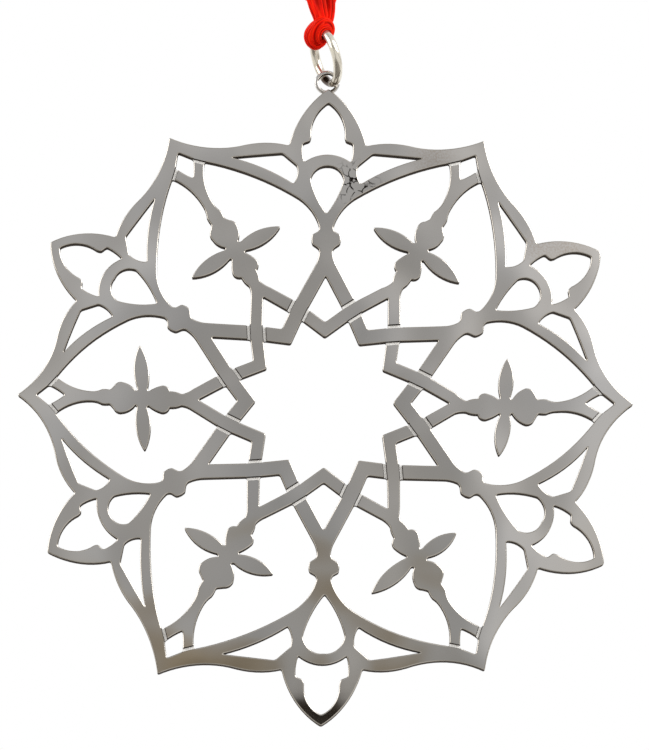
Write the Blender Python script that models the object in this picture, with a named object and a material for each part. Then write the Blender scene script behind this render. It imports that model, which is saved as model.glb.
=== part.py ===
"""Silver-plated snowflake ornament on a loop of red satin ribbon.

One flat pierced plate of interlaced straps hangs by a small wire eye soldered to its top point.
A round wire jump ring passes through the eye, and the ribbon is hitched to the ring.
The origin is the top of the ribbon loop, where a branch or a hook holds it.
The plate hangs in the XZ plane with its front towards -Y.  Sizes are in millimetres and radians.
"""

import math

import bmesh
import bpy
from mathutils import Matrix, Vector

MM = 0.001
ARMS = 6
HALF_ARM = math.pi / ARMS

# The plate: its size, and the drawing of its pattern, which is scaled to that size
PLATE_RADIUS = 45.2
PLATE_THICKNESS = 1.2
PLATE_DROP = 120.0
ARC_TOLERANCE = 0.03

# Two interlaced strap stars: the corners of their centrelines, and their widths
CROSSING_RADIUS = 14.05
CROSSING_ANGLE = math.radians(15.7)
FINIAL_STRAP_APEX = 20.95
FINIAL_STRAP_CORNER = 11.0
FINIAL_STRAP_WIDTH = 2.05
SPRIG_STRAP_APEX = 19.65
SPRIG_STRAP_CORNER = 10.6
SPRIG_STRAP_WIDTH = 1.8

# Outline points of the pattern: offset from the axis, radius, and the bulge of the arc to the next
# point, which is positive to the left of the way the outline runs
FINIAL_EDGE = ((0.0, 45.2, 0.9), (5.5, 37.75, 0.37), (11.5, 37.75, -0.97))
DRAWN_RADIUS = FINIAL_EDGE[0][1]
STAR_TIP_RADIUS = 44.4
FINIAL_HOLE_TIP = ((0.0, 43.6, 0.75),)
FINIAL_HOLE = (
    (2.4, 39.0, 0.0),
    (2.55, 38.4, 0.0),
    (3.55, 38.05, 0.15),
    (3.3, 35.4, -0.28),
    (0.0, 36.5, 0.0),
)
TEARDROP = ((0.0, 28.0, -0.27), (2.35, 32.9, -0.6), (0.0, 34.85, 0.0))
# How each finial's holes differ: how far out the foot of its hole lies, how far its teardrop lies across
# the axis, and how much wider and taller the teardrop is
FINIAL_CUTS = (
    (0.0, 0.0, 1.0, 1.0),
    (-0.1, 0.0, 1.0, 1.0),
    (0.1, -0.25, 1.19, 1.05),
    (0.6, -0.1, 1.22, 1.12),
    (0.0, 0.15, 0.94, 1.0),
    (0.0, 0.25, 1.13, 1.0),
)
SPANDREL = (
    (4.8, 32.3, 0.3),
    (4.35, 34.9, 0.0),
    (6.4, 36.6, 0.05),
    (13.4, 35.8, -0.4),
)
FINIAL_STEM = (
    (1.55, 20.2, 0.12),
    (0.95, 22.3, 0.1),
    (1.3, 23.0, 0.0),
    (1.95, 23.45, -0.15),
    (1.95, 24.95, 0.0),
    (1.25, 25.35, 0.1),
    (1.02, 26.1, 0.46),
    (4.0, 30.2, 0.68),
)
TIP_DIAMOND = ((0.0, 41.8, 0.0), (1.45, 40.0, 0.1), (0.0, 37.6, 0.0))
SPRIG_FORK = (2.65, 38.9, -0.5)
SPRIG_STEM = ((0.72, 33.5, -0.1), (1.1, 31.9, 0.05), (1.05, 30.7, 0.0))
BULB_SHOULDER = (0.75, 30.1, 0.25)
BULB_WIDEST = (1.0, 28.8, 0.25)
SPRIG_WAIST = ((1.0, 26.85, 0.0), (1.3, 26.6, 0.7))
LEAF_BULGE = 0.7
SPRIG_FOOT = (
    (1.3, 25.15, 0.0),
    (1.05, 25.0, 0.1),
    (2.0, 23.1, 0.3),
    (1.2, 21.9, 0.12),
    (0.85, 20.2, -0.1),
)
SPRIG_ROOT = (1.55, 18.6, 0.0)
# How each sprig differs: how far it lies clockwise of its axis, the half width of its bulb, and the
# offset and radius of the tip of its first leaf and of the leaf clockwise of that
SPRIGS = (
    (0.2, 2.0, 7.4, 25.8, 7.4, 25.0),
    (0.55, 2.75, 7.35, 26.1, 7.55, 24.9),
    (0.2, 2.2, 6.75, 25.8, 8.1, 27.2),
    (0.0, 2.6, 6.75, 25.3, 7.4, 25.8),
    (-0.1, 2.25, 7.65, 25.3, 8.0, 26.45),
    (-0.1, 2.05, 7.5, 25.35, 7.45, 25.85),
)

# How far the hand that cut the plate strayed from the even pattern, at each axis clockwise from the top:
# outwards and clockwise near the tip, then outwards and clockwise near the waist
STRAY_RADII = (42.0, 30.0)
STRAY_REACH = 8.0
STRAY = (
    (0.5, 0.2, -0.3, 0.0),
    (0.9, 0.1, 0.0, 0.1),
    (0.3, 0.0, -0.1, 0.2),
    (-0.6, -0.3, -0.2, -0.1),
    (0.4, 0.2, -0.6, -0.6),
    (-0.2, -0.5, 0.2, -0.3),
    (1.0, 0.1, -0.6, -0.2),
    (0.9, 0.1, -0.2, 0.4),
    (-0.9, 0.1, 0.0, 0.1),
    (-1.1, 0.4, 0.0, 0.3),
    (0.4, 0.2, -0.3, -0.1),
    (0.7, -0.2, -0.3, 0.0),
)

# Grooves that part an under strap from the strap over it, and a fork's tips from the frame
GROOVE_WIDTH = 0.45
GROOVE_DEPTH = 0.3
GROOVE_LIP = 0.08
GROOVE_OVERRUN = 0.25

# The soldered eye, and how far the top point reaches up to it
TOP_RISE = 1.05
TOP_HOLE_RISE = 0.5
EYE_WIRE = 0.5
EYE_OUTER_RADIUS = 1.7
EYE_NECK_WIDTH = 1.5
EYE_NECK_DEPTH = 1.0
EYE_NECK_HEIGHT = 0.35
EYE_SEAT_DEPTH = 0.6
EYE_STEPS = 28
SEAT_GAP = 0.3

# The jump ring, which is turned and tilted off the plate's square
RING_WIRE = 1.15
RING_RADIUS = 3.915
RING_TURN = math.radians(15.8)
RING_TILT = math.radians(20.7)
RING_EYE_ANGLE = math.radians(212)
RING_IN_EYE = (0.3, 0.05)
RING_SPLIT_ANGLE = math.radians(172)
RING_SPLIT = 0.2
RING_STEPS = 44

# The ribbon: a hitch round the ring, two strands and an end knot with two tails
RIBBON_WIDTH = 3.0
RIBBON_THICKNESS = 0.4
STRAND_GAP = 0.7
STRAND_SPREAD = 0.7
HITCH_GAP = 0.3
HITCH_LOBE_ANGLE = math.radians(-24)
HITCH_LOBE_RADII = (1.6, 2.1, 2.4)
HITCH_BAND_ANGLE = math.radians(20)
HITCH_BAND_RISE = 0.9
HITCH_BAND_RADII = (1.75, 1.8, 1.6)
HITCH_NECK_RISE = 1.6
STRAND_BOW = 5.5
STRAND_STEPS = 22
KNOT_RADII = (2.6, 2.2, 2.7)
KNOT_RISE = 4.2
TAIL_LENGTH = 11.0
TAIL_SPREAD = math.radians(24)
BALL_STEPS = (20, 12)


def clear_scene():
    for item in list(bpy.data.objects):
        bpy.data.objects.remove(item, do_unlink=True)


def collection(name):
    group = bpy.data.collections.new(name)
    bpy.context.scene.collection.children.link(group)
    return group


def material(name, colour, roughness, metallic):
    item = bpy.data.materials.new(name)
    item.use_nodes = True
    shader = item.node_tree.nodes["Principled BSDF"]
    shader.inputs["Base Color"].default_value = (*colour, 1.0)
    shader.inputs["Roughness"].default_value = roughness
    shader.inputs["Metallic"].default_value = metallic
    return item


# Flat geometry of the pattern, in the drawing's millimetres


def polar(angle, radius):
    """Point at a radius, at an angle clockwise from straight up."""
    return Vector((radius * math.sin(angle), radius * math.cos(angle)))


def on_axis(angle, offset, radius):
    """Point beside an axis that points outwards at an angle; a positive offset is clockwise."""
    along = polar(angle, 1.0)
    across = Vector((along.y, -along.x))
    return along * radius + across * offset


def arc(start, end, bulge):
    """Points from start up to, but not with, end, on an arc that bulges to the left."""
    chord = end - start
    if abs(bulge) < 1e-6:
        return [start]
    sweep = 4.0 * math.atan(2.0 * bulge / chord.length)
    radius = chord.length / (2.0 * math.sin(sweep / 2.0))
    steps = max(2, math.ceil(abs(sweep) / (2.0 * math.acos(1.0 - ARC_TOLERANCE / abs(radius)))))
    normal = Vector((-chord.y, chord.x)).normalized()
    centre = (start + end) / 2.0 - normal * radius * math.cos(sweep / 2.0)
    spoke = start - centre
    points = []
    for step in range(steps):
        turn = -sweep * step / steps
        points.append(centre + Matrix.Rotation(turn, 2) @ spoke)
    return points


def trace(knots):
    """Outline through (point, bulge) knots, as one closed list of points."""
    points = []
    for index, (point, bulge) in enumerate(knots):
        following = knots[(index + 1) % len(knots)][0]
        points += arc(point, following, bulge)
    return points


def knots_on(angle, points, side=1.0):
    """Knots beside an axis; on the other side the offsets and the bulges change sign."""
    return [(on_axis(angle, side * offset, radius), side * bulge) for offset, radius, bulge in points]


def backwards(knots):
    """The same open stretch run the other way; the last knot's bulge is dropped."""
    bulges = [bulge for _, bulge in knots]
    turned = [-bulge for bulge in reversed(bulges[:-1])] + [0.0]
    return [(point, bulge) for (point, _), bulge in zip(reversed(knots), turned)]


def mirrored_loop(angle, points):
    """Closed knots of a hole that is even on both sides of an axis, from its tip and back."""
    right = knots_on(angle, points)
    left = backwards(knots_on(angle, points, -1.0))
    return right[:-1] + left[:-1]


def meet(start, end, other_start, other_end):
    """Point where two straight lines cross."""
    along = end - start
    other = other_end - other_start
    gap = other_start - start
    share = (gap.x * other.y - gap.y * other.x) / (along.x * other.y - along.y * other.x)
    return start + along * share


def shifted(start, end, distance):
    """A line moved to its left."""
    along = (end - start).normalized()
    step = Vector((-along.y, along.x)) * distance
    return start + step, end + step


def strap_corners():
    """Corners where the straps' edges meet, in the half arm clockwise of the top axis."""
    crossing = polar(CROSSING_ANGLE, CROSSING_RADIUS)
    finial_out = polar(0.0, FINIAL_STRAP_APEX), crossing
    finial_in = crossing, polar(HALF_ARM, FINIAL_STRAP_CORNER)
    sprig_in = polar(0.0, SPRIG_STRAP_CORNER), crossing
    sprig_out = crossing, polar(HALF_ARM, SPRIG_STRAP_APEX)
    finial_half = FINIAL_STRAP_WIDTH / 2.0
    sprig_half = SPRIG_STRAP_WIDTH / 2.0
    top_axis = Vector((0.0, 0.0)), polar(0.0, 1.0)
    star_axis = Vector((0.0, 0.0)), polar(HALF_ARM, 1.0)
    return {
        "finial_kite_tip": meet(*shifted(*finial_out, -finial_half), *top_axis),
        "finial_kite_side": meet(*shifted(*finial_out, -finial_half), *shifted(*sprig_in, sprig_half)),
        "finial_kite_foot": meet(*shifted(*sprig_in, sprig_half), *top_axis),
        "sprig_kite_tip": meet(*shifted(*sprig_out, -sprig_half), *star_axis),
        "sprig_kite_side": meet(*shifted(*sprig_out, -sprig_half), *shifted(*finial_in, finial_half)),
        "sprig_kite_foot": meet(*shifted(*finial_in, finial_half), *star_axis),
        "rosette_finial": meet(*shifted(*sprig_in, -sprig_half), *top_axis),
        "rosette_side": meet(*shifted(*sprig_in, -sprig_half), *shifted(*finial_in, -finial_half)),
        "rosette_sprig": meet(*shifted(*finial_in, -finial_half), *star_axis),
        "petal_foot": meet(*shifted(*finial_out, finial_half), *shifted(*sprig_out, sprig_half)),
    }


def spun(points, turn, mirror=False):
    """Points turned clockwise about the centre, and first flipped about the top axis if asked."""
    cosine, sine = math.cos(turn), math.sin(turn)
    flip = -1.0 if mirror else 1.0
    return [Vector((flip * p.x * cosine + p.y * sine, -flip * p.x * sine + p.y * cosine)) for p in points]


def hand_cut(point):
    """Where the hand that cut the plate put a point of the even pattern."""
    moved = point.copy()
    for axis, (tip_out, tip_across, waist_out, waist_across) in enumerate(STRAY):
        turn = axis * HALF_ARM
        for radius, out, across in zip(STRAY_RADII, (tip_out, waist_out), (tip_across, waist_across)):
            gap = (point - polar(turn, radius)).length
            moved += on_axis(turn, across, out) * math.exp(-((gap / STRAY_REACH) ** 2) / 2.0)
    return moved


def raised(points, rise):
    """An axis's points with the first one moved outwards."""
    offset, radius, bulge = points[0]
    return ((offset, radius + rise, bulge),) + points[1:]


def sprig_side(shift, bulb, leaf_offset, leaf_radius):
    """One side of a sprig, from its fork down to its root."""
    swell = tuple((offset * bulb, radius, bulge) for offset, radius, bulge in (BULB_SHOULDER, BULB_WIDEST))
    free = SPRIG_STEM + swell + SPRIG_WAIST + ((leaf_offset, leaf_radius, LEAF_BULGE),) + SPRIG_FOOT
    moved = tuple((offset + shift, radius, bulge) for offset, radius, bulge in free)
    return (SPRIG_FORK,) + moved + (SPRIG_ROOT,)


def petal_gap(corners, arm, mirror):
    """The open half petal between a finial's stem and the sprig beside it, drawn on the first arm."""
    shift, bulb, *leaves = SPRIGS[(arm - 1) % ARMS if mirror else arm]
    side = sprig_side(shift, bulb, *leaves[2:]) if mirror else sprig_side(-shift, bulb, *leaves[:2])
    stem = knots_on(0.0, FINIAL_STEM)
    return trace([(corners["petal_foot"], 0.0)] + stem + knots_on(HALF_ARM, side, -1.0))


def finial_holes(arm, turn, rise):
    """A finial's arched hole and its teardrop."""
    out, across, wider, taller = FINIAL_CUTS[arm]
    foot = tuple((offset, radius + out, bulge) for offset, radius, bulge in FINIAL_HOLE)
    arch = raised(FINIAL_HOLE_TIP, rise) + foot
    point = TEARDROP[0][1]
    drop = [
        (offset * wider, point + (radius - point) * taller, bulge * wider)
        for offset, radius, bulge in TEARDROP
    ]
    step = on_axis(turn, across, 0.0)
    drop_knots = [(place + step, bulge) for place, bulge in mirrored_loop(turn, drop)]
    return [trace(mirrored_loop(turn, arch)), trace(drop_knots)]


def pattern_outlines():
    """The plate's outer edge and all of its holes, as closed lists of points."""
    corners = strap_corners()
    edge, rosette, holes = [], [], []
    star_tip = on_axis(HALF_ARM, 0.0, STAR_TIP_RADIUS)
    for arm in range(ARMS):
        turn = arm * 2.0 * HALF_ARM
        rise = (TOP_RISE, TOP_HOLE_RISE) if arm == 0 else (0.0, 0.0)
        right = knots_on(turn, raised(FINIAL_EDGE, rise[0])) + [(spun([star_tip], turn)[0], 0.0)]
        left = backwards(knots_on(turn + 2.0 * HALF_ARM, FINIAL_EDGE, -1.0) + [right[-1]])
        edge += right[:-1] + left[:-1]
        rosette += spun([corners["rosette_finial"], corners["rosette_side"]], turn)
        rosette += spun([corners["rosette_sprig"]], turn)
        rosette += spun([corners["rosette_side"]], turn + 2.0 * HALF_ARM, mirror=True)
        holes += finial_holes(arm, turn, rise[1])
        holes.append(trace(mirrored_loop(turn + HALF_ARM, TIP_DIAMOND)))
        kite = [corners[key] for key in ("finial_kite_tip", "finial_kite_side", "finial_kite_foot")]
        holes.append(spun(kite + spun([kite[1]], 0.0, mirror=True), turn))
        kite = [corners[key] for key in ("sprig_kite_tip", "sprig_kite_side", "sprig_kite_foot")]
        holes.append(spun(kite + spun([kite[1]], 2.0 * HALF_ARM, mirror=True), turn))
        for mirror in (False, True):
            holes.append(spun(trace(knots_on(0.0, SPANDREL)), turn, mirror))
            holes.append(spun(petal_gap(corners, arm, mirror), turn, mirror))
    return [[hand_cut(point) for point in outline] for outline in [trace(edge), rosette] + holes]


def groove_lines():
    """Start and end of each groove's near edge; the groove lies to the left of it."""
    corners = strap_corners()
    kite, petal = corners["finial_kite_side"], corners["petal_foot"]
    sprig_kite, rosette = corners["sprig_kite_side"], corners["rosette_side"]
    sprig_over = [(kite, petal), (sprig_kite, rosette)]
    finial_over = [(rosette, kite), (petal, sprig_kite)]
    lines = []
    for arm in range(ARMS):
        turn = arm * 2.0 * HALF_ARM
        lines += [spun(line, turn) for line in sprig_over]
        lines += [list(reversed(spun(line, turn, mirror=True))) for line in finial_over]
        for side in (-1.0, 1.0):
            outer, inner = (
                on_axis(turn + HALF_ARM, side * offset, radius)
                for offset, radius, _ in (SPRIG_FORK, TIP_DIAMOND[1])
            )
            lines.append((outer, inner) if side > 0.0 else (inner, outer))
    return [[hand_cut(point) for point in line] for line in lines]


# Places of the hanging pieces, in metres


def eye_centre():
    seat = PLATE_RADIUS + TOP_RISE - EYE_SEAT_DEPTH
    rise = seat + SEAT_GAP + EYE_NECK_HEIGHT + EYE_OUTER_RADIUS - EYE_WIRE / 2.0
    return Vector((0.0, 0.0, rise - PLATE_DROP)) * MM


def ring_frame():
    """The ring's axes (up its slope, level towards the front, and its normal) as a rotation."""
    level = math.cos(RING_TILT)
    normal = Vector((math.cos(RING_TURN) * level, math.sin(RING_TURN) * level, math.sin(RING_TILT)))
    slope = (Vector((0.0, 0.0, 1.0)) - normal * normal.z).normalized()
    return Matrix((slope, normal.cross(slope), normal)).transposed()


def ring_point(angle, radius=RING_RADIUS):
    """Point at an angle round the ring from its highest point, seen from the ring's centre."""
    return ring_frame() @ Vector((math.cos(angle), math.sin(angle), 0.0)) * radius * MM


def ring_centre():
    inside = Vector((RING_IN_EYE[0], 0.0, RING_IN_EYE[1])) * MM
    return eye_centre() + inside - ring_point(RING_EYE_ANGLE)


def hitch_centre():
    """Middle of the band at the top of the hitch, where the strands leave."""
    return ring_centre() + ring_point(HITCH_BAND_ANGLE) + Vector((0.0, 0.0, HITCH_BAND_RISE)) * MM


def strand_points(side):
    """Centreline of one strand, from the hitch, clear of its own leaning end, up to the knot."""
    lean_drop = RIBBON_WIDTH / 2.0 * math.pi * STRAND_BOW / (PLATE_DROP - PLATE_RADIUS)
    lift = Vector((0.0, 0.0, HITCH_BAND_RADII[2] + HITCH_NECK_RISE + SEAT_GAP + lean_drop)) * MM
    front = Vector((0.0, side * (RIBBON_THICKNESS + STRAND_GAP) / 2.0, 0.0)) * MM
    foot = hitch_centre() + lift + front + Vector((side * STRAND_SPREAD, 0.0, 0.0)) * MM
    head = Vector((0.0, 0.0, KNOT_RISE - KNOT_RADII[2] - SEAT_GAP)) * MM + front
    points = []
    for step in range(STRAND_STEPS + 1):
        share = step / STRAND_STEPS
        bow = Vector((side * STRAND_BOW * math.sin(math.pi * share), 0.0, 0.0)) * MM
        points.append(foot.lerp(head, share) + bow)
    return points


# Blender objects


def new_object(name, data, group, finish=None):
    item = bpy.data.objects.new(name, data)
    group.objects.link(item)
    if finish is not None:
        data.materials.append(finish)
    return item


def as_mesh(item, group):
    """Swap a curve object for a mesh of its evaluated shape, with its loose caps welded."""
    bpy.context.view_layer.update()
    graph = bpy.context.evaluated_depsgraph_get()
    mesh = bpy.data.meshes.new_from_object(item.evaluated_get(graph))
    net = bmesh.new()
    net.from_mesh(mesh)
    bmesh.ops.remove_doubles(net, verts=net.verts, dist=1e-7)
    net.to_mesh(mesh)
    net.free()
    name = item.name
    place = item.matrix_world.copy()
    bpy.data.objects.remove(item, do_unlink=True)
    solid = new_object(name, mesh, group)
    solid.matrix_world = place
    return solid


def flat_plate(name, outlines, thickness, group, finish):
    """A flat outline with holes, filled and made thick, standing in the XZ plane."""
    curve = bpy.data.curves.new(name, "CURVE")
    curve.dimensions = "2D"
    curve.fill_mode = "BOTH"
    curve.extrude = thickness * MM / 2.0
    for outline in outlines:
        spline = curve.splines.new("POLY")
        spline.points.add(len(outline) - 1)
        for knot, point in zip(spline.points, outline):
            knot.co = (point.x * MM, point.y * MM, 0.0, 1.0)
        spline.use_cyclic_u = True
    item = new_object(name, curve, group, finish)
    item.rotation_euler = (math.pi / 2.0, 0.0, 0.0)
    return as_mesh(item, group)


def wire(name, points, radius, group, finish, closed=False, width=0.0):
    """A round wire or, with a width, a flat strip, along world points."""
    curve = bpy.data.curves.new(name, "CURVE")
    curve.dimensions = "3D"
    curve.bevel_depth = radius * MM
    curve.bevel_resolution = 2
    curve.extrude = max(0.0, width / 2.0 - radius) * MM
    curve.use_fill_caps = not closed
    spline = curve.splines.new("POLY")
    spline.points.add(len(points) - 1)
    for knot, point in zip(spline.points, points):
        knot.co = (*point, 1.0)
    spline.use_cyclic_u = closed
    return new_object(name, curve, group, finish)


def ball(name, centre, radii, group, finish, rotation=None):
    """A stretched ball."""
    mesh = bpy.data.meshes.new(name)
    net = bmesh.new()
    bmesh.ops.create_uvsphere(net, u_segments=BALL_STEPS[0], v_segments=BALL_STEPS[1], radius=1.0)
    shape = Matrix.Diagonal(Vector((*radii, 1.0 / MM)) * MM)
    if rotation is not None:
        shape = rotation.to_4x4() @ shape
    bmesh.ops.transform(net, matrix=shape, verts=net.verts)
    net.to_mesh(mesh)
    net.free()
    item = new_object(name, mesh, group, finish)
    item.location = centre
    return item


def block(name, low, high, group):
    """A box between two corners."""
    mesh = bpy.data.meshes.new(name)
    net = bmesh.new()
    bmesh.ops.create_cube(net, size=1.0)
    bmesh.ops.scale(net, vec=Vector(high) - Vector(low), verts=net.verts)
    net.to_mesh(mesh)
    net.free()
    item = new_object(name, mesh, group)
    item.location = (Vector(low) + Vector(high)) / 2.0
    return item


def cut(item, cutter, operation="DIFFERENCE"):
    step = item.modifiers.new(cutter.name, "BOOLEAN")
    step.operation = operation
    step.object = cutter
    step.solver = "EXACT"


def hide_cutter(item):
    item.hide_render = True
    item.display_type = "WIRE"
    return item


def groove_cutter(group):
    """One object with a box for each groove, sunk into the plate's front."""
    mesh = bpy.data.meshes.new("groove_cutter")
    net = bmesh.new()
    front = -PLATE_THICKNESS / 2.0
    scale = PLATE_RADIUS / DRAWN_RADIUS
    for start, end in groove_lines():
        along = (end - start).normalized()
        left = Vector((-along.y, along.x))
        centre = (start + end) / 2.0 * scale + left * (GROOVE_LIP + GROOVE_WIDTH / 2.0)
        length = (end - start).length * scale + 2.0 * GROOVE_OVERRUN
        made = bmesh.ops.create_cube(net, size=1.0)["verts"]
        bmesh.ops.scale(net, vec=(length * MM, 2.0 * GROOVE_DEPTH * MM, GROOVE_WIDTH * MM), verts=made)
        turn = Matrix.Rotation(-math.atan2(along.y, along.x), 4, "Y")
        place = Matrix.Translation(Vector((centre.x, front, centre.y - PLATE_DROP)) * MM)
        bmesh.ops.transform(net, matrix=place @ turn, verts=made)
    net.to_mesh(mesh)
    net.free()
    return hide_cutter(new_object("groove_cutter", mesh, group))


def snowflake_plate(parts, cutters, finish):
    scale = PLATE_RADIUS / DRAWN_RADIUS
    outlines = [[point * scale for point in outline] for outline in pattern_outlines()]
    plate = flat_plate("snowflake_plate", outlines, PLATE_THICKNESS, parts, finish)
    plate.data.materials.append(finish)
    plate.location.z = -PLATE_DROP * MM
    cut(plate, groove_cutter(cutters))
    seat = eye_centre().z - (EYE_OUTER_RADIUS - EYE_WIRE / 2.0 + EYE_NECK_HEIGHT + SEAT_GAP) * MM
    reach = (EYE_NECK_WIDTH + 2.0 * SEAT_GAP) * MM
    top = seat + EYE_OUTER_RADIUS * MM
    cut(plate, hide_cutter(block("seat_cutter", (-reach, -reach, seat), (reach, reach, top), cutters)))
    return plate


def hanging_eye(parts, cutters, finish):
    centre = eye_centre()
    mean_radius = EYE_OUTER_RADIUS - EYE_WIRE / 2.0
    circle = [centre + Vector((math.sin(turn), 0.0, math.cos(turn))) * mean_radius * MM
              for turn in (math.tau * step / EYE_STEPS for step in range(EYE_STEPS))]
    eye = as_mesh(wire("hanging_eye", circle, EYE_WIRE / 2.0, parts, finish, closed=True), parts)
    eye.data.materials.append(finish)
    half = EYE_NECK_WIDTH * MM / 2.0
    deep = EYE_NECK_DEPTH * MM / 2.0
    top = centre.z - mean_radius * MM
    neck = block("eye_neck", (-half, -deep, top - EYE_NECK_HEIGHT * MM), (half, deep, top), cutters)
    cut(eye, hide_cutter(neck), "UNION")
    return eye


def jump_ring(parts, finish):
    """The ring, open at its split."""
    half_split = RING_SPLIT / RING_RADIUS / 2.0
    start = RING_SPLIT_ANGLE + half_split
    sweep = math.tau - 2.0 * half_split
    centre = ring_centre()
    points = [centre + ring_point(start + sweep * step / RING_STEPS) for step in range(RING_STEPS + 1)]
    return wire("jump_ring", points, RING_WIRE / 2.0, parts, finish)


def ribbon_hitch(parts, cutters, finish):
    """The ribbon's folds round the ring: a lobe, a band above it and a neck, bored for the wire."""
    centre = hitch_centre()
    hitch = ball("ribbon_hitch", centre, HITCH_BAND_RADII, parts, finish)
    place = ring_centre() + ring_point(HITCH_LOBE_ANGLE)
    cut(hitch, hide_cutter(ball("hitch_lobe", place, HITCH_LOBE_RADII, cutters, None)), "UNION")
    half = RIBBON_WIDTH / 2.0 * MM
    deep = (RIBBON_THICKNESS + STRAND_GAP / 2.0) * MM
    top = (HITCH_BAND_RADII[2] + HITCH_NECK_RISE) * MM
    low = centre - Vector((half, deep, 0.0))
    neck = block("hitch_neck", low, centre + Vector((half, deep, top)), cutters)
    cut(hitch, hide_cutter(neck), "UNION")
    circle = [ring_centre() + ring_point(math.tau * step / RING_STEPS) for step in range(RING_STEPS)]
    bore = wire("hitch_bore", circle, RING_WIRE / 2.0 + HITCH_GAP, cutters, None, closed=True)
    cut(hitch, hide_cutter(as_mesh(bore, cutters)))
    return hitch


def ribbon_strand(name, side, parts, finish):
    return wire(name, strand_points(side), RIBBON_THICKNESS / 2.0, parts, finish, width=RIBBON_WIDTH)


def ribbon_end_knot(parts, cutters, finish):
    """A plain overhand knot above the loop, with its two tails."""
    centre = Vector((0.0, 0.0, KNOT_RISE)) * MM
    knot = ball("ribbon_end_knot", centre, KNOT_RADII, parts, finish)
    for side in (-1.0, 1.0):
        lean = Vector((side * math.sin(TAIL_SPREAD), 0.0, math.cos(TAIL_SPREAD))) * TAIL_LENGTH * MM
        front = Vector((0.0, side * (RIBBON_THICKNESS + STRAND_GAP) / 2.0, 0.0)) * MM
        points = [centre + front, centre + front + lean / 2.0, centre + front + lean]
        name = "tail_left" if side < 0.0 else "tail_right"
        tail = wire(name, points, RIBBON_THICKNESS / 2.0, cutters, None, width=RIBBON_WIDTH)
        cut(knot, hide_cutter(as_mesh(tail, cutters)), "UNION")
    return knot


def axis_empty(name, place, parent, group):
    item = bpy.data.objects.new(name, None)
    group.objects.link(item)
    item.location = place
    bpy.context.view_layer.update()
    if parent is not None:
        hang(item, parent)
    return item


def hang(item, parent):
    """Parent an object and leave it where it is."""
    bpy.context.view_layer.update()
    item.parent = parent
    item.matrix_parent_inverse = parent.matrix_world.inverted()


def build():
    clear_scene()
    parts = collection("snowflake_ornament")
    cutters = collection("cutters")
    silver = material("silver_plate", (0.36, 0.34, 0.32), 0.28, 1.0)
    bright = material("bright_silver", (0.78, 0.75, 0.70), 0.18, 1.0)
    satin = material("red_satin", (0.72, 0.008, 0.004), 0.45, 0.0)

    top = axis_empty("loop_top", (0.0, 0.0, 0.0), None, parts)
    twist = axis_empty("ribbon_twist_axis", hitch_centre(), top, parts)
    turn = axis_empty("ring_turn_axis", ring_centre(), twist, parts)
    swing = axis_empty("plate_swing_axis", ring_centre() + ring_point(RING_EYE_ANGLE), turn, parts)

    hang(ribbon_strand("ribbon_left_strand", -1.0, parts, satin), top)
    hang(ribbon_strand("ribbon_right_strand", 1.0, parts, satin), top)
    hang(ribbon_end_knot(parts, cutters, satin), top)
    hang(ribbon_hitch(parts, cutters, satin), twist)
    hang(jump_ring(parts, bright), turn)
    hang(hanging_eye(parts, cutters, silver), swing)
    hang(snowflake_plate(parts, cutters, silver), swing)


build()
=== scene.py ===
"""Dresses the packed snowflake ornament: a polished pierced plate, its eye and ring, and a satin ribbon.

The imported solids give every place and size. The plate is drawn again from the same outlines with rounded
edges, the wire pieces are drawn smooth, and the ribbon is folded out of satin strips.
Drawn sizes are in millimetres and angles in radians; what Blender gets is in metres.
"""

import math

import bmesh
import bpy
from bpy.props import FloatProperty, FloatVectorProperty, PointerProperty
from mathutils import Matrix, Vector


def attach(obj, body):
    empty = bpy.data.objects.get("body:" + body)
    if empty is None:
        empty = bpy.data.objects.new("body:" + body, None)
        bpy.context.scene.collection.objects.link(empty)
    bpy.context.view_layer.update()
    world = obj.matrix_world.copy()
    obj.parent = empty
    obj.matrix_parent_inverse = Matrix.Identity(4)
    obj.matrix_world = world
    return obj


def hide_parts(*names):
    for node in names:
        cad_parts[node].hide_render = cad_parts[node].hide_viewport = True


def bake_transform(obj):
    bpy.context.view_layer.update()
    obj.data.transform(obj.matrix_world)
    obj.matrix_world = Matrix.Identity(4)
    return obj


bl_info = {
    "name": "Snowflake Ornament",
    "version": (1, 0, 0),
    "blender": (4, 5, 0),
    "location": "View3D > Sidebar > Ornament",
    "description": "Dresses a pierced silver-plated snowflake that hangs on a satin ribbon",
    "category": "Object",
}

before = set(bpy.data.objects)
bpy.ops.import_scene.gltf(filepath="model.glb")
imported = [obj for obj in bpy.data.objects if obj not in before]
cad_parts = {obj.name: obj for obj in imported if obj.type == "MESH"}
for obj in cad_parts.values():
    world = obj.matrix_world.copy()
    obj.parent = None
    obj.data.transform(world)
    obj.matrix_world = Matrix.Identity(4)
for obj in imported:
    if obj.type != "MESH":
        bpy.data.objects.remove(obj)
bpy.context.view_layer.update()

MM = 0.001
ARMS = 6
HALF_ARM = math.pi / ARMS
# Points of a mesh that lie closer than this, in metres, are one
WELD_DISTANCE = 1e-7
FLAT, EDGE, OXIDE, BRIGHT = range(4)

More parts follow.
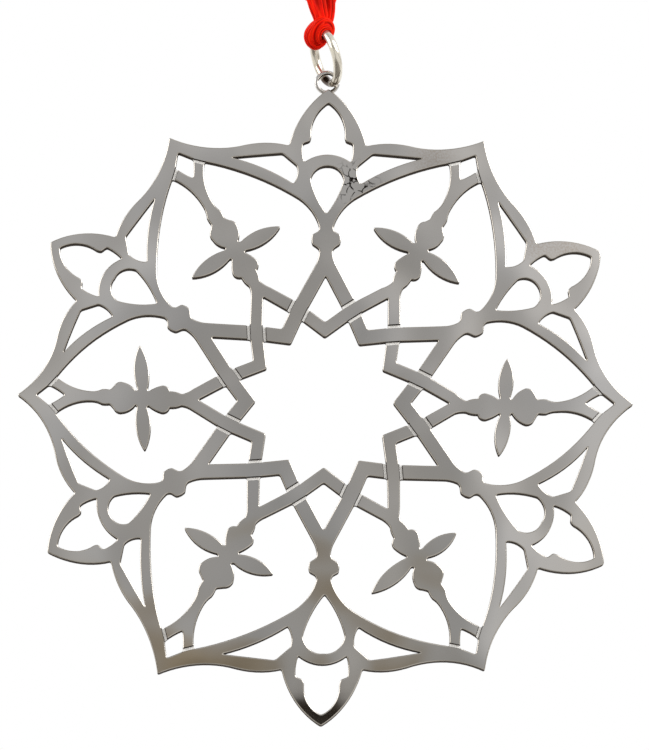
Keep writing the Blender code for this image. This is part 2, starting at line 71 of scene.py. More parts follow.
# The plate's drawing: offset from an axis, radius, and the bulge of the arc to the next point
PLATE_THICKNESS = 1.2
PLATE_DROP = 120.0
ARC_TOLERANCE = 0.008
CROSSING_RADIUS = 14.05
CROSSING_ANGLE = math.radians(15.7)
FINIAL_STRAP_APEX = 20.95
FINIAL_STRAP_CORNER = 11.0
FINIAL_STRAP_WIDTH = 2.05
SPRIG_STRAP_APEX = 19.65
SPRIG_STRAP_CORNER = 10.6
SPRIG_STRAP_WIDTH = 1.8
FINIAL_EDGE = ((0.0, 45.2, 0.9), (5.5, 37.75, 0.37), (11.5, 37.75, -0.97))
STAR_TIP_RADIUS = 44.4
FINIAL_HOLE_TIP = ((0.0, 43.6, 0.75),)
FINIAL_HOLE = (
    (2.4, 39.0, 0.0),
    (2.55, 38.4, 0.0),
    (3.55, 38.05, 0.15),
    (3.3, 35.4, -0.28),
    (0.0, 36.5, 0.0),
)
TEARDROP = ((0.0, 28.0, -0.27), (2.35, 32.9, -0.6), (0.0, 34.85, 0.0))
# How each finial's holes differ: how far out the foot of its hole lies, how far its teardrop lies across
# the axis, and how much wider and taller the teardrop is
FINIAL_CUTS = (
    (0.0, 0.0, 1.0, 1.0),
    (-0.1, 0.0, 1.0, 1.0),
    (0.1, -0.25, 1.19, 1.05),
    (0.6, -0.1, 1.22, 1.12),
    (0.0, 0.15, 0.94, 1.0),
    (0.0, 0.25, 1.13, 1.0),
)
SPANDREL = (
    (4.8, 32.3, 0.3),
    (4.35, 34.9, 0.0),
    (6.4, 36.6, 0.05),
    (13.4, 35.8, -0.4),
)
FINIAL_STEM = (
    (1.55, 20.2, 0.12),
    (0.95, 22.3, 0.1),
    (1.3, 23.0, 0.0),
    (1.95, 23.45, -0.15),
    (1.95, 24.95, 0.0),
    (1.25, 25.35, 0.1),
    (1.02, 26.1, 0.46),
    (4.0, 30.2, 0.68),
)
TIP_DIAMOND = ((0.0, 41.8, 0.0), (1.45, 40.0, 0.1), (0.0, 37.6, 0.0))
SPRIG_FORK = (2.65, 38.9, -0.5)
SPRIG_STEM = ((0.72, 33.5, -0.1), (1.1, 31.9, 0.05), (1.05, 30.7, 0.0))
BULB_SHOULDER = (0.75, 30.1, 0.25)
BULB_WIDEST = (1.0, 28.8, 0.25)
SPRIG_WAIST = ((1.0, 26.85, 0.0), (1.3, 26.6, 0.7))
LEAF_BULGE = 0.7
SPRIG_FOOT = (
    (1.3, 25.15, 0.0),
    (1.05, 25.0, 0.1),
    (2.0, 23.1, 0.3),
    (1.2, 21.9, 0.12),
    (0.85, 20.2, -0.1),
)
SPRIG_ROOT = (1.55, 18.6, 0.0)
# How each sprig differs: how far it lies clockwise of its axis, the half width of its bulb, and the
# offset and radius of the tip of its first leaf and of the leaf clockwise of that
SPRIGS = (
    (0.2, 2.0, 7.4, 25.8, 7.4, 25.0),
    (0.55, 2.75, 7.35, 26.1, 7.55, 24.9),
    (0.2, 2.2, 6.75, 25.8, 8.1, 27.2),
    (0.0, 2.6, 6.75, 25.3, 7.4, 25.8),
    (-0.1, 2.25, 7.65, 25.3, 8.0, 26.45),
    (-0.1, 2.05, 7.5, 25.35, 7.45, 25.85),
)
# How far the hand that cut the plate strayed from the even pattern, at each axis clockwise from the top:
# outwards and clockwise near the tip, then outwards and clockwise near the waist
STRAY_RADII = (42.0, 30.0)
STRAY_REACH = 8.0
STRAY = (
    (0.5, 0.2, -0.3, 0.0),
    (0.9, 0.1, 0.0, 0.1),
    (0.3, 0.0, -0.1, 0.2),
    (-0.6, -0.3, -0.2, -0.1),
    (0.4, 0.2, -0.6, -0.6),
    (-0.2, -0.5, 0.2, -0.3),
    (1.0, 0.1, -0.6, -0.2),
    (0.9, 0.1, -0.2, 0.4),
    (-0.9, 0.1, 0.0, 0.1),
    (-1.1, 0.4, 0.0, 0.3),
    (0.4, 0.2, -0.3, -0.1),
    (0.7, -0.2, -0.3, 0.0),
)
# Where the plate's tarnished cracks lie, and how far round it they are whole and then fade
TARNISH_PLACE = (4.2, -0.6, -87.6)
TARNISH_REACH = (1.5, 4.0)
# Brown haze on the upper right point and on the strap before it, each with its reach
HAZE_PLACES = (
    ((30.0, -0.6, -96.7), 3.0),
    ((34.5, -0.6, -97.0), 4.0),
    ((15.3, -0.6, -83.2), 4.5),
)
# How far below the plate's middle its bottom point starts to bend, and how far back its end lies
BEND_START = 36.5
BEND_ROWS = 8
BEND_BACK = 0.17
# How far forwards or backwards a face looks, at least for a flat and at most for a sawn wall
FLAT_TURN = 0.997
WALL_TURN = 0.6
SHARP_CORNER = math.radians(25)
CORNER_STEPS = 4
# The most of a side that one rubbed corner takes
CORNER_SHARE = 0.45
EDGE_STEPS = 3
GROOVE_LIP = -0.06
GROOVE_OVERRUN = 0.25
# The side of the groove cutter's profile that leaves the bright middle of the floor
GROOVE_FLOOR_SIDE = 3
METAL_CREASE = math.radians(35)

# The seat of the eye, the eye and the ring
TOP_RISE = 1.05
TOP_HOLE_RISE = 0.5
EYE_SEAT_DROP = 0.6
EYE_NECK_HEIGHT = 0.35
SEAT_GAP = 0.3
EYE_WIRE = 0.5
EYE_OUTER_RADIUS = 1.7
EYE_BAND = 0.58
EYE_DEPTH = 0.6
# The flattened wire spreads outward, clear of the ring
EYE_SPREAD = 0.08
EYE_SQUARENESS = 0.5
EYE_STEPS = 72
# How squarely a face of the eye looks inwards where the painted dark reflection covers it
EYE_INSIDE_TURN = 0.5
EYE_NECK_HALF_WIDTH = 0.62
EYE_NECK_HALF_DEPTH = 0.3
EYE_NECK_STEPS = 8
# How much further the solder spreads across and out at the foot of the neck
SOLDER_SPREAD = (0.45, 0.28)
# Painted shadow where the ring passes through the eye: dark within the first distance, none past the second
EYE_SHADOW_REACH = (1.0, 1.9)
RING_WIRE = 1.15
RING_FLATTENING = 1.15
RING_RADIUS = 3.915
RING_TURN = math.radians(15.8)
RING_TILT = math.radians(20.7)
RING_EYE_ANGLE = math.radians(212)
RING_IN_EYE = (0.3, 0.05)
RING_SPLIT_ANGLE = math.radians(172)
RING_SPLIT = 0.2
RING_STEPS = 128
WIRE_SIDES = 20

# The ribbon's route, as in the part's own source
RIBBON_WIDTH = 3.0
RIBBON_THICKNESS = 0.4
STRAND_GAP = 0.7
STRAND_SPREAD = 0.7
STRAND_BOW = 5.5
STRAND_LIFT = 3.85
STRAND_STEPS = 36
HITCH_BAND_ANGLE = math.radians(20)
HITCH_BAND_RISE = 0.9
# How the satin is drawn: how finely, how square its pleats are, where it creases, and how it is cupped
PLEAT_STEPS = 96
PLEAT_SQUARENESS = 0.7
PLEAT_CREASE = math.radians(70)
CURVE_STEPS = 8
SATIN_CREASE = math.radians(50)
SATIN_STEPS = 18
STRAND_CUP = 0.18
# A selvedge is round, and no thinner than this
SELVEDGE_POWER = 6
SELVEDGE_HALF = 0.02
# Half widths and half depths of the gathered stretches, and how they swell or shrink on the way
TURN_HALF_WIDTH = 1.35
TURN_NARROWING = 0.35
TURN_HALF_DEPTH = 0.4
TURN_SWELL = 0.26
TURN_LOBE = 0.12
TURN_FIRST_SHARE = 0.15
INNER_HALF_WIDTH = 0.8
INNER_HALF_DEPTH = 0.3
INNER_SWELL = 0.1
COVER_HALF_WIDTH = 0.55
COVER_SWELL = 0.3
COVER_HALF_DEPTH = 0.3
NECK_HALF_WIDTH = 0.85
NECK_OPENING = 0.55
NECK_HALF_DEPTH = 0.5
NECK_THINNING = 0.12
# Their pleats: how many, how high, and how far they slide round the ribbon on the way, in radians
TURN_PLEATS = (9, 0.08, 8.0)
INNER_PLEATS = (9, 0.07, 4.0)
COVER_PLEATS = (8, 0.08, 2.5)
NECK_PLEATS = (11, 0.1, 1.5)
# The turn of ribbon round the wire: to the right, up and ahead of the wire's middle
HITCH_TURN = (
    (0.4, -1.0, 0.5),
    (0.95, -0.4, 0.6),
    (1.05, 0.4, 0.7),
    (0.6, 1.05, 0.7),
    (-0.25, 1.0, 0.6),
    (-1.15, 0.3, 0.4),
    (-1.75, -0.7, 0.2),
    (-1.5, -1.7, 0.0),
    (-0.75, -2.15, 0.0),
    (0.05, -1.75, 0.1),
    (0.4, -1.1, 0.3),
)
HITCH_INNER_ANGLE = math.radians(40)
HITCH_INNER_TURN = (
    (0.6, -0.55, 0.0),
    (0.8, 0.1, 0.0),
    (0.45, 0.7, 0.0),
    (-0.3, 0.75, 0.0),
    (-0.85, 0.3, 0.0),
    (-1.05, -0.5, 0.0),
    (-0.8, -1.2, 0.0),
    (-0.2, -1.3, 0.0),
)
# The fold that crosses the front of the turn, from the upper right down into the lobe
HITCH_COVER = (
    (0.9, 1.1, 0.9),
    (-0.1, 1.05, 1.5),
    (-0.9, 0.5, 1.6),
    (-1.3, -0.35, 1.45),
    (-1.2, -1.2, 1.1),
    (-0.75, -1.75, 0.5),
)
# The strands' lower ends, from under the turn up to where the strands open out
HITCH_NECKS = (
    ((0.1, -0.1, -0.3), (0.0, -0.3, 1.0), (-0.35, -0.45, 2.4), (-0.75, -0.55, 4.2)),
    ((0.5, 0.2, -0.3), (0.85, 0.3, 1.0), (0.9, 0.45, 2.4), (0.75, 0.55, 4.2)),
)
# The end knot: half its height, and how far its middle lies above the top of the loop
KNOT_HALF_HEIGHT = 2.7
KNOT_RISE = 4.2
# The strands run into the knot and end this far under its middle
STRAND_TUCK = 1.0
# The knot's loops, across and from front to back, and the ribbon drawn tight in them
KNOT_LOOP = 0.62
KNOT_DEPTH = 0.85
KNOT_BAND = 1.7
KNOT_BAND_THICKNESS = 0.8
KNOT_BAND_CUP = 0.12
KNOT_STEPS = 96
TAIL_LENGTH = 11.0
TAIL_CUP = 0.2
TAIL_STEPS = 16
TAIL_SPREAD = math.radians(24)

# The camera, in millimetres and degrees, fitted to the photograph's view from a little below
CAMERA_PLACE = (-8.585, -470.08, -235.81)
CAMERA_TURN = (104.306, -0.514, -1.1772)
CAMERA_LENS = 164.355
CAMERA_SENSOR = 36.0
# The lamps' places from the middle of the plate, their size, and the floor, all in metres
KEY_PLACE = (0.45, -0.35, 0.35)
FILL_PLACE = (-0.5, -0.3, 0.2)
LAMP_SIZE = 0.4
FLOOR_HALF = 1.5
FLOOR_LEVEL = -0.75
# How far to each side the card's width reaches, where the table ends to the right, and how far back the
# white backdrop fades in, as parts of a direction of length 1
CARD_HALF_WIDTH = 0.4
TABLE_END = (0.018, 0.042)
BACKDROP_FADE = 0.4
# The studio's grey card, by its height from straight down (0) to straight up (1), the brown table that
# covers its foot on the left, and the card's shade by its width from left to right
CARD_BY_HEIGHT = (
    (0.16, (0.22, 0.2, 0.18)),
    (0.24, (0.75, 0.74, 0.72)),
    (0.5, (0.8, 0.79, 0.77)),
    (0.52, (0.7, 0.69, 0.67)),
    (0.532, (0.05, 0.04, 0.03)),
    (0.552, (0.05, 0.04, 0.03)),
    (0.56, (0.6, 0.59, 0.57)),
    (0.58, (0.68, 0.68, 0.67)),
    (0.6, (0.71, 0.71, 0.705)),
    (0.63, (0.72, 0.72, 0.72)),
    (0.67, (1.0, 1.0, 1.0)),
    (0.74, (1.0, 1.0, 1.0)),
    (0.84, (0.7, 0.7, 0.7)),
)
TABLE_BY_HEIGHT = (
    (0.5, (0.8, 0.77, 0.72)),
    (0.525, (0.7, 0.66, 0.6)),
    (0.538, (0.015, 0.012, 0.01)),
    (0.548, (0.05, 0.04, 0.03)),
    (0.556, (0.2, 0.15, 0.09)),
    (0.568, (0.5, 0.42, 0.3)),
    (0.585, (0.62, 0.58, 0.52)),
    (0.6, (1.0, 1.0, 1.0)),
)
CARD_BY_WIDTH = (
    (0.06, (1.0, 1.0, 1.0)),
    (0.12, (0.15, 0.15, 0.15)),
    (0.2, (0.15, 0.15, 0.15)),
    (0.28, (0.9, 0.9, 0.9)),
    (0.4, (0.78, 0.79, 0.8)),
    (0.46, (0.63, 0.63, 0.63)),
    (0.515, (0.56, 0.56, 0.555)),
    (0.55, (0.61, 0.61, 0.605)),
    (0.59, (0.74, 0.74, 0.74)),
    (0.63, (1.0, 1.0, 1.0)),
)


# Colours and nodes


def linear(code):
    """An sRGB hex colour as linear red, green and blue."""
    parts = [int(code[index:index + 2], 16) / 255.0 for index in (1, 3, 5)]
    return tuple(c / 12.92 if c <= 0.04045 else ((c + 0.055) / 1.055) ** 2.4 for c in parts)


def opaque(colour):
    """A colour with full alpha."""
    return (*colour, 1.0)


def node(tree, kind, inputs=None, stops=(), **settings):
    """Add a node, set its properties and a ramp's (place, colour) stops, and link or set its inputs."""
    item = tree.nodes.new(kind)
    for key, value in settings.items():
        setattr(item, key, value)
    for index, (place, colour) in enumerate(stops):
        elements = item.color_ramp.elements
        stop = elements[index] if index < len(elements) else elements.new(1.0)
        stop.position = place
        stop.color = opaque(colour)
    for key, value in (inputs or {}).items():
        if isinstance(value, bpy.types.NodeSocket):
            tree.links.new(value, item.inputs[key])
        else:
            item.inputs[key].default_value = value
    return item


def new_material(name, metallic, roughness):
    """A material with a plain shader, and its node tree and shader."""
    item = bpy.data.materials.new(name)
    item.use_nodes = True
    shader = item.node_tree.nodes["Principled BSDF"]
    shader.inputs["Metallic"].default_value = metallic
    shader.inputs["Roughness"].default_value = roughness
    return item, item.node_tree, shader


def clouded(tree, shader, size, detail, first, second):
    """Colour a shader with two colours, blended by clouds of a real size in millimetres."""
    place = node(tree, "ShaderNodeTexCoord").outputs["Object"]
    noise = node(tree, "ShaderNodeTexNoise", {"Vector": place, "Scale": 1.0 / (size * MM), "Detail": detail})
    tint = node(tree, "ShaderNodeMix", {"Factor": noise.outputs["Fac"], "A": opaque(first),
                                        "B": opaque(second)}, data_type="RGBA")
    tree.links.new(tint.outputs["Result"], shader.inputs["Base Color"])


def near_spot(tree, place, spot, inner, outer, full=1.0):
    """A mask round a spot: full within the inner distance in millimetres, and nothing past the outer one."""
    away = node(tree, "ShaderNodeVectorMath", {0: place, 1: spot}, operation="DISTANCE")
    mask = node(tree, "ShaderNodeMapRange", {"Value": away.outputs["Value"], "From Min": inner * MM,
                                             "From Max": outer * MM, "To Min": full, "To Max": 0.0})
    return mask.outputs["Result"]


def polished_silver_plate(look):
    """Silver plate over brass, buffed by hand: grey, glossy, slowly uneven, with a patch of black cracks."""
    item, tree, shader = new_material("polished_silver_plate", 1.0, 0.08)
    place = node(tree, "ShaderNodeTexCoord").outputs["Object"]
    # Buffing leaves a slow unevenness of about 16 mm, and a haze of fine scratches of about 1 mm
    slow = node(tree, "ShaderNodeTexNoise", {"Vector": place, "Scale": 1.0 / (16.0 * MM), "Detail": 1.0})
    haze = node(tree, "ShaderNodeTexNoise", {"Vector": place, "Scale": 1.0 / (1.1 * MM), "Detail": 3.0})
    tint = node(tree, "ShaderNodeMix", {"Factor": slow.outputs["Fac"], "A": opaque(look.warm_silver),
                                        "B": opaque(look.cool_silver)}, data_type="RGBA")
    # The tarnished cracks run about 1.2 mm apart, and wander by 0.5 mm
    wander = node(tree, "ShaderNodeTexNoise", {"Vector": place, "Scale": 1.0 / (0.8 * MM), "Detail": 1.0})
    bent = node(tree, "ShaderNodeVectorMath", {0: wander.outputs["Color"], 1: (0.5 * MM,) * 3, 2: place},
                operation="MULTIPLY_ADD")
    cells = node(tree, "ShaderNodeTexVoronoi", {"Vector": bent.outputs["Vector"], "Scale": 1.0 / (1.2 * MM)},
                 feature="DISTANCE_TO_EDGE")
    crack = node(tree, "ShaderNodeMapRange", {"Value": cells.outputs["Distance"], "From Min": 0.04,
                                              "From Max": 0.08, "To Min": 1.0, "To Max": 0.0})
    near = near_spot(tree, place, Vector(TARNISH_PLACE) * MM, *TARNISH_REACH)
    broken = node(tree, "ShaderNodeMapRange", {"Value": wander.outputs["Fac"], "From Min": 0.42,
                                               "From Max": 0.5})
    run = node(tree, "ShaderNodeMath", {0: crack.outputs["Result"], 1: near}, operation="MULTIPLY")
    cover = node(tree, "ShaderNodeMath", {0: run.outputs["Value"], 1: broken.outputs["Result"]},
                 operation="MULTIPLY")
    stained = node(tree, "ShaderNodeMix", {"Factor": cover.outputs["Value"], "A": tint.outputs["Result"],
                                           "B": opaque(look.oxide)}, data_type="RGBA")
    # Brown haze lies in specks of about 0.3 mm, and hides at most four tenths of the plating
    specks = node(tree, "ShaderNodeTexNoise", {"Vector": place, "Scale": 1.0 / (0.3 * MM), "Detail": 2.0})
    dotted = node(tree, "ShaderNodeMapRange", {"Value": specks.outputs["Fac"], "From Min": 0.4,
                                               "From Max": 0.65})
    for spot, reach in HAZE_PLACES:
        near = near_spot(tree, place, Vector(spot) * MM, 0.0, reach, 0.4)
        cover = node(tree, "ShaderNodeMath", {0: dotted.outputs["Result"], 1: near}, operation="MULTIPLY")
        stained = node(tree, "ShaderNodeMix", {"Factor": cover.outputs["Value"],
                                               "A": stained.outputs["Result"],
                                               "B": opaque(look.haze_brown)}, data_type="RGBA")
    tree.links.new(stained.outputs["Result"], shader.inputs["Base Color"])
    rough = node(tree, "ShaderNodeMapRange", {"Value": haze.outputs["Fac"], "To Min": 0.03, "To Max": 0.08})
    tree.links.new(rough.outputs["Result"], shader.inputs["Roughness"])
    bump = node(tree, "ShaderNodeBump", {"Height": slow.outputs["Fac"], "Strength": 1.0,
                                         "Distance": 0.4 * MM})
    tree.links.new(bump.outputs["Normal"], shader.inputs["Normal"])
    return item


def rubbed_silver_edge(look):
    """Silver plate on a rounded edge, kept bright by handling."""
    item, tree, shader = new_material("rubbed_silver_edge", 1.0, 0.16)
    # Handling rubs an edge in patches of about 3 mm
    clouded(tree, shader, 3.0, 2.0, look.edge_silver, look.warm_silver)
    return item


def oxidised_saw_cut(look):
    """Sawn walls of a pierced plate, which no buff reaches: dull, and brown-black with oxide."""
    item, tree, shader = new_material("oxidised_saw_cut", 0.0, 0.7)
    shader.inputs["Specular IOR Level"].default_value = 0.05
    # Saw teeth leave marks about 0.3 mm apart
    clouded(tree, shader, 0.3, 2.0, look.oxide, look.oxide_light)
    return item


def groove_floor_painted_highlight(look):
    """Floor of a groove, painted near white as a highlight where it catches the light, with a fine grain
    across it.
    """
    item, tree, shader = new_material("groove_floor_painted_highlight", 0.1, 0.55)
    # The graver chatters at about 0.2 mm
    clouded(tree, shader, 0.2, 1.0, look.groove_highlight_white, look.groove_shade)
    return item


def bright_silver_wire(look):
    """Drawn wire with bright plating: warm white, with clouds of thin oxide, and painted shadow where it
    passes through the eye.
    """
    item, tree, shader = new_material("bright_silver_wire", 0.85, 0.14)
    place = node(tree, "ShaderNodeTexCoord").outputs["Object"]
    # Oxide clouds of about 2 mm
    clouds = node(tree, "ShaderNodeTexNoise", {"Vector": place, "Scale": 1.0 / (2.0 * MM), "Detail": 3.0})
    cover = node(tree, "ShaderNodeMapRange", {"Value": clouds.outputs["Fac"], "From Min": 0.5,
                                              "From Max": 0.75})
    tint = node(tree, "ShaderNodeMix", {"Factor": cover.outputs["Result"], "A": opaque(look.wire_silver),
                                        "B": opaque(look.wire_oxide)}, data_type="RGBA")
    # Painted shadow: brown-black where the wire passes through the eye
    near = near_spot(tree, place, eye_centre(), *EYE_SHADOW_REACH)
    rubbed = node(tree, "ShaderNodeMix", {"Factor": near, "A": tint.outputs["Result"],
                                          "B": opaque(look.wire_eye_shadow)}, data_type="RGBA")
    tree.links.new(rubbed.outputs["Result"], shader.inputs["Base Color"])
    return item


def red_satin(look):
    """Polyester satin: long floats of thread along the ribbon, bright red, with painted shade of deep red in
    the folds.
    """
    item, tree, shader = new_material("red_satin", 0.0, 0.5)
    place = node(tree, "ShaderNodeUVMap").outputs["UV"]
    # Threads lie about 0.12 mm apart, and are drawn at 0.3 mm so that they show
    threads = node(tree, "ShaderNodeTexWave", {"Vector": place, "Scale": 1.0 / (0.3 * MM) / math.tau,
                                               "Distortion": 1.5, "Detail": 2.0}, bands_direction="X")
    fold = node(tree, "ShaderNodeAttribute", attribute_name="fold").outputs["Fac"]
    weave = node(tree, "ShaderNodeMix", {"Factor": threads.outputs["Fac"], "A": opaque(look.thread_red),
                                         "B": opaque(look.satin_red)}, data_type="RGBA")
    # Painted shade: deep red where the point lies deep in a fold
    tint = node(tree, "ShaderNodeMix", {"Factor": fold, "A": weave.outputs["Result"],
                                        "B": opaque(look.streak_and_fold_shade_red)}, data_type="RGBA")
    # The floats part in dark streaks, about 0.5 mm across and 2.5 mm along
    along = node(tree, "ShaderNodeVectorMath", {0: place, 1: (1.0 / (0.5 * MM), 1.0 / (2.5 * MM), 1.0)},
                 operation="MULTIPLY")
    streaks = node(tree, "ShaderNodeTexNoise", {"Vector": along.outputs["Vector"], "Scale": 1.0,
                                                "Detail": 2.0})
    parted = node(tree, "ShaderNodeMapRange", {"Value": streaks.outputs["Fac"], "From Min": 0.45,
                                               "From Max": 0.75, "To Max": 0.65})
    streaked = node(tree, "ShaderNodeMix", {"Factor": parted.outputs["Result"], "A": tint.outputs["Result"],
                                            "B": opaque(look.streak_and_fold_shade_red)}, data_type="RGBA")
    tree.links.new(streaked.outputs["Result"], shader.inputs["Base Color"])
    shader.inputs["Specular IOR Level"].default_value = 0.05
    bump = node(tree, "ShaderNodeBump", {"Height": threads.outputs["Fac"], "Strength": 0.2,
                                         "Distance": 0.02 * MM})
    tree.links.new(bump.outputs["Normal"], shader.inputs["Normal"])
    return item


# Flat geometry of the plate's pattern


def polar(angle, radius):
    """Point at a radius, at an angle clockwise from straight up."""
    return Vector((radius * math.sin(angle), radius * math.cos(angle)))


def on_axis(angle, offset, radius):
    """Point beside an axis that points outwards at an angle; a positive offset is clockwise."""
    along = polar(angle, 1.0)
    across = Vector((along.y, -along.x))
    return along * radius + across * offset


def arc(start, end, bulge):
    """Points from start up to, but not with, end, on an arc that bulges to the left."""
    chord = end - start
    if abs(bulge) < 1e-6:
        return [start]
    swept = 4.0 * math.atan(2.0 * bulge / chord.length)
    radius = chord.length / (2.0 * math.sin(swept / 2.0))
    steps = max(2, math.ceil(abs(swept) / (2.0 * math.acos(1.0 - ARC_TOLERANCE / abs(radius)))))
    normal = Vector((-chord.y, chord.x)).normalized()
    centre = (start + end) / 2.0 - normal * radius * math.cos(swept / 2.0)
    spoke = start - centre
    return [centre + Matrix.Rotation(-swept * step / steps, 2) @ spoke for step in range(steps)]


def trace(knots):
    """Outline through (point, bulge) knots, as one closed list of points."""
    points = []
    for index, (point, bulge) in enumerate(knots):
        following = knots[(index + 1) % len(knots)][0]
        points += arc(point, following, bulge)
    return points


def knots_on(angle, points, side=1.0):
    """Knots beside an axis; on the other side the offsets and the bulges change sign."""
    return [(on_axis(angle, side * offset, radius), side * bulge) for offset, radius, bulge in points]


def backwards(knots):
    """The same open stretch run the other way; the last knot's bulge is dropped."""
    bulges = [bulge for _, bulge in knots]
    turned = [-bulge for bulge in reversed(bulges[:-1])] + [0.0]
    return [(point, bulge) for (point, _), bulge in zip(reversed(knots), turned)]


def mirrored_loop(angle, points):
    """Closed knots of a hole that is even on both sides of an axis, from its tip and back."""
    right = knots_on(angle, points)
    left = backwards(knots_on(angle, points, -1.0))
    return right[:-1] + left[:-1]


def meet(start, end, other_start, other_end):
    """Point where two straight lines cross."""
    along = end - start
    other = other_end - other_start
    gap = other_start - start
    share = (gap.x * other.y - gap.y * other.x) / (along.x * other.y - along.y * other.x)
    return start + along * share


def shifted(start, end, distance):
    """A line moved to its left."""
    along = (end - start).normalized()
    step = Vector((-along.y, along.x)) * distance
    return start + step, end + step


def strap_corners():
    """Corners where the straps' edges meet, in the half arm clockwise of the top axis."""
    crossing = polar(CROSSING_ANGLE, CROSSING_RADIUS)
    finial_out = polar(0.0, FINIAL_STRAP_APEX), crossing
    finial_in = crossing, polar(HALF_ARM, FINIAL_STRAP_CORNER)
    sprig_in = polar(0.0, SPRIG_STRAP_CORNER), crossing
    sprig_out = crossing, polar(HALF_ARM, SPRIG_STRAP_APEX)
    finial_half = FINIAL_STRAP_WIDTH / 2.0
    sprig_half = SPRIG_STRAP_WIDTH / 2.0
    top_axis = Vector((0.0, 0.0)), polar(0.0, 1.0)
    star_axis = Vector((0.0, 0.0)), polar(HALF_ARM, 1.0)
    return {
        "finial_kite_tip": meet(*shifted(*finial_out, -finial_half), *top_axis),
        "finial_kite_side": meet(*shifted(*finial_out, -finial_half), *shifted(*sprig_in, sprig_half)),
        "finial_kite_foot": meet(*shifted(*sprig_in, sprig_half), *top_axis),
        "sprig_kite_tip": meet(*shifted(*sprig_out, -sprig_half), *star_axis),
        "sprig_kite_side": meet(*shifted(*sprig_out, -sprig_half), *shifted(*finial_in, finial_half)),
        "sprig_kite_foot": meet(*shifted(*finial_in, finial_half), *star_axis),
        "rosette_finial": meet(*shifted(*sprig_in, -sprig_half), *top_axis),
        "rosette_side": meet(*shifted(*sprig_in, -sprig_half), *shifted(*finial_in, -finial_half)),
        "rosette_sprig": meet(*shifted(*finial_in, -finial_half), *star_axis),
        "petal_foot": meet(*shifted(*finial_out, finial_half), *shifted(*sprig_out, sprig_half)),
    }


def spun(points, turn, mirror=False):
    """Points turned clockwise about the centre, and first flipped about the top axis if asked."""
    cosine, sine = math.cos(turn), math.sin(turn)
    flip = -1.0 if mirror else 1.0
    return [Vector((flip * p.x * cosine + p.y * sine, -flip * p.x * sine + p.y * cosine)) for p in points]


def hand_cut(point):
    """Where the hand that cut the plate put a point of the even pattern."""
    moved = point.copy()
    for axis, (tip_out, tip_across, waist_out, waist_across) in enumerate(STRAY):
        turn = axis * HALF_ARM
        for radius, out, across in zip(STRAY_RADII, (tip_out, waist_out), (tip_across, waist_across)):
            gap = (point - polar(turn, radius)).length
            moved += on_axis(turn, across, out) * math.exp(-((gap / STRAY_REACH) ** 2) / 2.0)
    return moved


def worn(outline, ease):
    """An outline with its sharp corners rubbed round."""
    points = []
    for before, here, after in zip(outline[-1:] + outline[:-1], outline, outline[1:] + outline[:1]):
        inward, onward = here - before, after - here
        if inward.angle(onward) < SHARP_CORNER:
            points.append(here)
            continue
        start = here - inward.normalized() * min(ease, inward.length * CORNER_SHARE)
        end = here + onward.normalized() * min(ease, onward.length * CORNER_SHARE)
        for step in range(CORNER_STEPS + 1):
            share = step / CORNER_STEPS
            points.append(start.lerp(here, share).lerp(here.lerp(end, share), share))
    return points


def raised(points, rise):
    """An axis's points with the first one moved outwards."""
    offset, radius, bulge = points[0]
    return ((offset, radius + rise, bulge),) + points[1:]


def sprig_side(shift, bulb, leaf_offset, leaf_radius):
    """One side of a sprig, from its fork down to its root."""
    swell = tuple((offset * bulb, radius, bulge) for offset, radius, bulge in (BULB_SHOULDER, BULB_WIDEST))
    free = SPRIG_STEM + swell + SPRIG_WAIST + ((leaf_offset, leaf_radius, LEAF_BULGE),) + SPRIG_FOOT
    moved = tuple((offset + shift, radius, bulge) for offset, radius, bulge in free)
    return (SPRIG_FORK,) + moved + (SPRIG_ROOT,)


def petal_gap(corners, arm, mirror):
    """The open half petal between a finial's stem and the sprig beside it, drawn on the first arm."""
    shift, bulb, *leaves = SPRIGS[(arm - 1) % ARMS if mirror else arm]
    side = sprig_side(shift, bulb, *leaves[2:]) if mirror else sprig_side(-shift, bulb, *leaves[:2])
    stem = knots_on(0.0, FINIAL_STEM)
    return trace([(corners["petal_foot"], 0.0)] + stem + knots_on(HALF_ARM, side, -1.0))


def finial_holes(arm, turn, rise):
    """A finial's arched hole and its teardrop."""
    out, across, wider, taller = FINIAL_CUTS[arm]
    foot = tuple((offset, radius + out, bulge) for offset, radius, bulge in FINIAL_HOLE)
    arch = raised(FINIAL_HOLE_TIP, rise) + foot
    point = TEARDROP[0][1]
    drop = [
        (offset * wider, point + (radius - point) * taller, bulge * wider)
        for offset, radius, bulge in TEARDROP
    ]
    step = on_axis(turn, across, 0.0)
    drop_knots = [(place + step, bulge) for place, bulge in mirrored_loop(turn, drop)]
    return [trace(mirrored_loop(turn, arch)), trace(drop_knots)]


